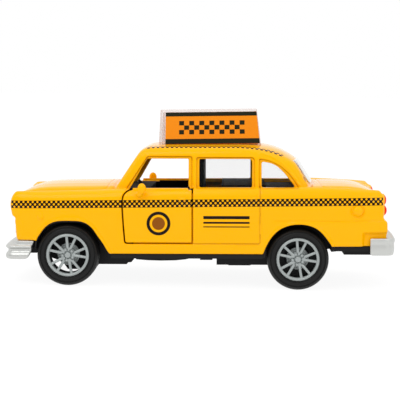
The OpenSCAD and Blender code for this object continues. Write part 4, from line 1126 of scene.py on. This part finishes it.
for sname, s in (("left", -1), ("right", 1)):
    parts = []
    for zz, bulge in ((28.8, 0.75), (25.4, 0.95)):
        prof = [[1.66, -0.9], [1.66, -0.1]] + [[1.66 * math.cos(a), -0.1 + (bulge + 0.1) * math.sin(a)] for a in np.linspace(0.12, math.pi / 2 - 0.02, 10)]
        prof = [[0.001, -0.9]] + prof + [[0.001, bulge]]
        v, f = lathe(prof, 40, closed=False)
        parts.append((place_x(v, 60.45, s * 19.4, zz), f))
    V, F, _ = merge(parts)
    o = make(sname + "_tail_lamp_domes", to_row(V), F, [M_RED], "car", [sname + "_tail_lamps"])
    flat_shade(o, 40)

parts = [box(-60.7, -59.84, -20.8, 20.8, 17.6, 29.95)]
for i in range(6):
    parts.append(box(-61.35, -60.6, -8.7, 8.7, 18.6 + i * 1.85, 19.25 + i * 1.85))
for i in range(9):
    parts.append(box(-61.1, -60.6, -8.1 + i * 2.0, -7.8 + i * 2.0, 18.0, 29.4))
parts += [box(-61.5, -60.5, -9.7, -8.7, 17.7, 29.8), box(-61.5, -60.5, 8.7, 9.7, 17.7, 29.8), box(-61.5, -60.5, -9.7, 9.7, 17.6, 18.3), box(-61.5, -60.5, -9.7, 9.7, 29.2, 29.9)]
V, F, _ = merge(parts)
bz = []
for s in (-1, 1):
    for y in (12.6, 18.2):
        v, f = lathe([[2.12, 0.0], [2.12, 0.9], [2.25, 1.25], [2.5, 1.32], [2.72, 1.1], [2.75, 0.0]], 48)
        bz.append((place_x(v, -60.65, s * y, 26.6, -1), f))
V2, F2, _ = merge([(V, F)] + bz)
# dark grey sheets, painted shadow behind the grille bars and inside the lamp bowls
Vd, Fd, _ = merge([box(-60.76, -60.6, -8.72, 8.72, 18.2, 29.3)] + [(place_x(lathe([[0.001, 0.02], [2.12, 0.02], [2.12, 0.12], [0.001, 0.12]], 40, closed=False)[0], -60.65, s * y, 26.6, -1), lathe([[0.001, 0.02], [2.12, 0.02], [2.12, 0.12], [0.001, 0.12]], 40, closed=False)[1]) for s in (-1, 1) for y in (12.6, 18.2)])
make("grille_painted_shadow", to_row(Vd), Fd, [M_GRILLE_SHADOW], "car", smooth=False)
o = make("grille_and_bezels", to_row(V2), F2, [M_SILVER], "car", ["radiator_grille"])
bevel(o, 0.12, 2)
flat_shade(o, 40)
ls = []
for s in (-1, 1):
    for y in (12.6, 18.2):
        prof = [[0.001, -0.0], [2.05, 0.0], [2.05, 0.55]] + [[2.05 * math.cos(a), 0.55 + 0.62 * math.sin(a)] for a in np.linspace(0.1, math.pi / 2 - 0.02, 8)] + [[0.001, 1.17]]
        v, f = lathe(prof, 40, closed=False)
        ls.append((place_x(v, -60.42, s * y, 26.6, -1), f))
V, F, _ = merge(ls)
o = make("headlamp_glasses", to_row(V), F, [M_LENS], "car", ["headlamp_lenses"])
flat_shade(o, 40)

# ------------------------------------------------------------------ frame nodes that show as they are
MATS = {"chassis_base": M_BLACK, "motor_case": M_BLACK, "motor_cover": M_BLACK, "interior_tub": M_TRIM, "steering_wheel": M_TRIM, "front_axle": M_STEEL, "rear_axle": M_STEEL,
        "step_up_shaft": M_STEEL, "flywheel_shaft": M_STEEL, "flywheel": M_STEEL, "axle_gear": M_NYLON, "step_up_gear": M_NYLON, "flywheel_pinion": M_NYLON,
        "left_door_hinge_pin": M_STEEL, "right_door_hinge_pin": M_STEEL, "chassis_screws": M_STEEL, "motor_mount_screws": M_STEEL, "motor_screws": M_STEEL}
BEV = {"chassis_base": 0.3, "motor_case": 0.3, "motor_cover": 0.3, "interior_tub": 0.35, "flywheel": 0.2, "front_axle": 0.15, "rear_axle": 0.15, "chassis_screws": 0.12}
for n, m in MATS.items():
    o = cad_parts[n]
    o.data.materials.clear()
    o.data.materials.append(m)
    if n in BEV:
        bevel(o, BEV[n], 2, 40)

# dash block and lower side trims of the cabin insert
parts = [box(-24.9, -16.6, -16.5, 16.5, 24.5, 32.2)]
parts += [box(-25.5, 18.5, s * 16.9 - 0.2, s * 16.9 + 0.2, 11.6, 24.5) for s in (-1, 1)]
parts += [box(-15.5, -1.6, s * 18.8 - 0.25, s * 18.8 + 0.25, 24.5, 32.35) for s in (-1, 1)]
V, F, _ = merge(parts)
o = make("cabin_trim", to_row(V), F, [M_TRIM], "car", smooth=False)
bevel(o, 0.15, 2)

# ------------------------------------------------------------------ stage, light, camera
vs = bpy.context.scene.view_settings
vs.view_transform = "Standard"
vs.look = "None"
fl = bpy.data.meshes.new("floor")
fl.from_pydata([(-20, -20, 0), (20, -20, 0), (20, 20, 0), (-20, 20, 0)], [], [(0, 1, 2, 3)])
floor = bpy.data.objects.new("floor", fl)
bpy.context.scene.collection.objects.link(floor)
fm = material("floor_white", (0.12, 0.12, 0.12, 1), rough=0.9, spec=0.0)
fm.node_tree.nodes["Principled BSDF"].inputs["Emission Color"].default_value = (1, 1, 1, 1)
fm.node_tree.nodes["Principled BSDF"].inputs["Emission Strength"].default_value = 0.92
fl.materials.append(fm)

w = bpy.data.worlds.new("w")
bpy.context.scene.world = w
w.use_nodes = True
bg = w.node_tree.nodes["Background"]
bg.inputs["Color"].default_value = (1, 1, 1, 1)
# a lit white sweep behind and overhead, a darker band of room in front of the car
wt = w.node_tree
wc = wt.nodes.new("ShaderNodeTexCoord")
wsx = wt.nodes.new("ShaderNodeSeparateXYZ")
wt.links.new(wc.outputs["Generated"], wsx.inputs[0])


def ramp(src, a, b, lo, hi):
    r = wt.nodes.new("ShaderNodeMapRange")
    r.interpolation_type = "SMOOTHSTEP"
    r.inputs["From Min"].default_value, r.inputs["From Max"].default_value = a, b
    r.inputs["To Min"].default_value, r.inputs["To Max"].default_value = lo, hi
    wt.links.new(src, r.inputs["Value"])
    return r.outputs["Result"]


wm = N(wt)
band = wm.m("MULTIPLY", ramp(wsx.outputs[1], -0.45, -0.05, 1.0, 0.0), ramp(wsx.outputs[2], 0.3, 0.6, 1.0, 0.0))
wt.links.new(wm.m("MULTIPLY_ADD", band, -0.55, 1.0), bg.inputs["Strength"])


def area(name, loc, target, size, power, col=(1, 1, 1)):
    d = bpy.data.lights.new(name, "AREA")
    d.shape = "RECTANGLE"
    d.size, d.size_y = size
    d.energy = power
    d.color = col
    o = bpy.data.objects.new(name, d)
    bpy.context.scene.collection.objects.link(o)
    o.location = loc
    o.rotation_euler = (Vector(target) - Vector(loc)).to_track_quat("-Z", "Y").to_euler()
    return o


area("key", (-0.25, -0.45, 0.5), (0, 0, 0.03), (0.5, 0.35), 1.2)
area("fill", (0.4, -0.5, 0.25), (0, 0, 0.03), (0.4, 0.3), 0.5)
area("top", (0.0, 0.1, 0.6), (0, 0, 0.0), (0.6, 0.5), 0.3)

cam = bpy.data.cameras.new("camera")
co = bpy.data.objects.new("camera", cam)
bpy.context.scene.collection.objects.link(co)
cam.sensor_width = 36
cam.lens = 107.46
cam.clip_start, cam.clip_end = 0.01, 20
th, psi = math.radians(5.1209), math.radians(1.6246)
F_ = np.array([-math.sin(psi) * math.cos(th), math.cos(psi) * math.cos(th), -math.sin(th)])
R_ = np.array([math.cos(psi), math.sin(psi), 0])
U_ = np.cross(R_, F_)
C_ = to_row([[11.252, -410.556, 63.692]])[0]
F_, R_, U_ = rot_row(F_[None])[0], rot_row(R_[None])[0], rot_row(U_[None])[0]
M = Matrix(((R_[0], U_[0], -F_[0], C_[0]), (R_[1], U_[1], -F_[1], C_[1]), (R_[2], U_[2], -F_[2], C_[2]), (0, 0, 0, 1)))
co.matrix_world = M
bpy.context.scene.camera = co

bpy.context.view_layer.update()
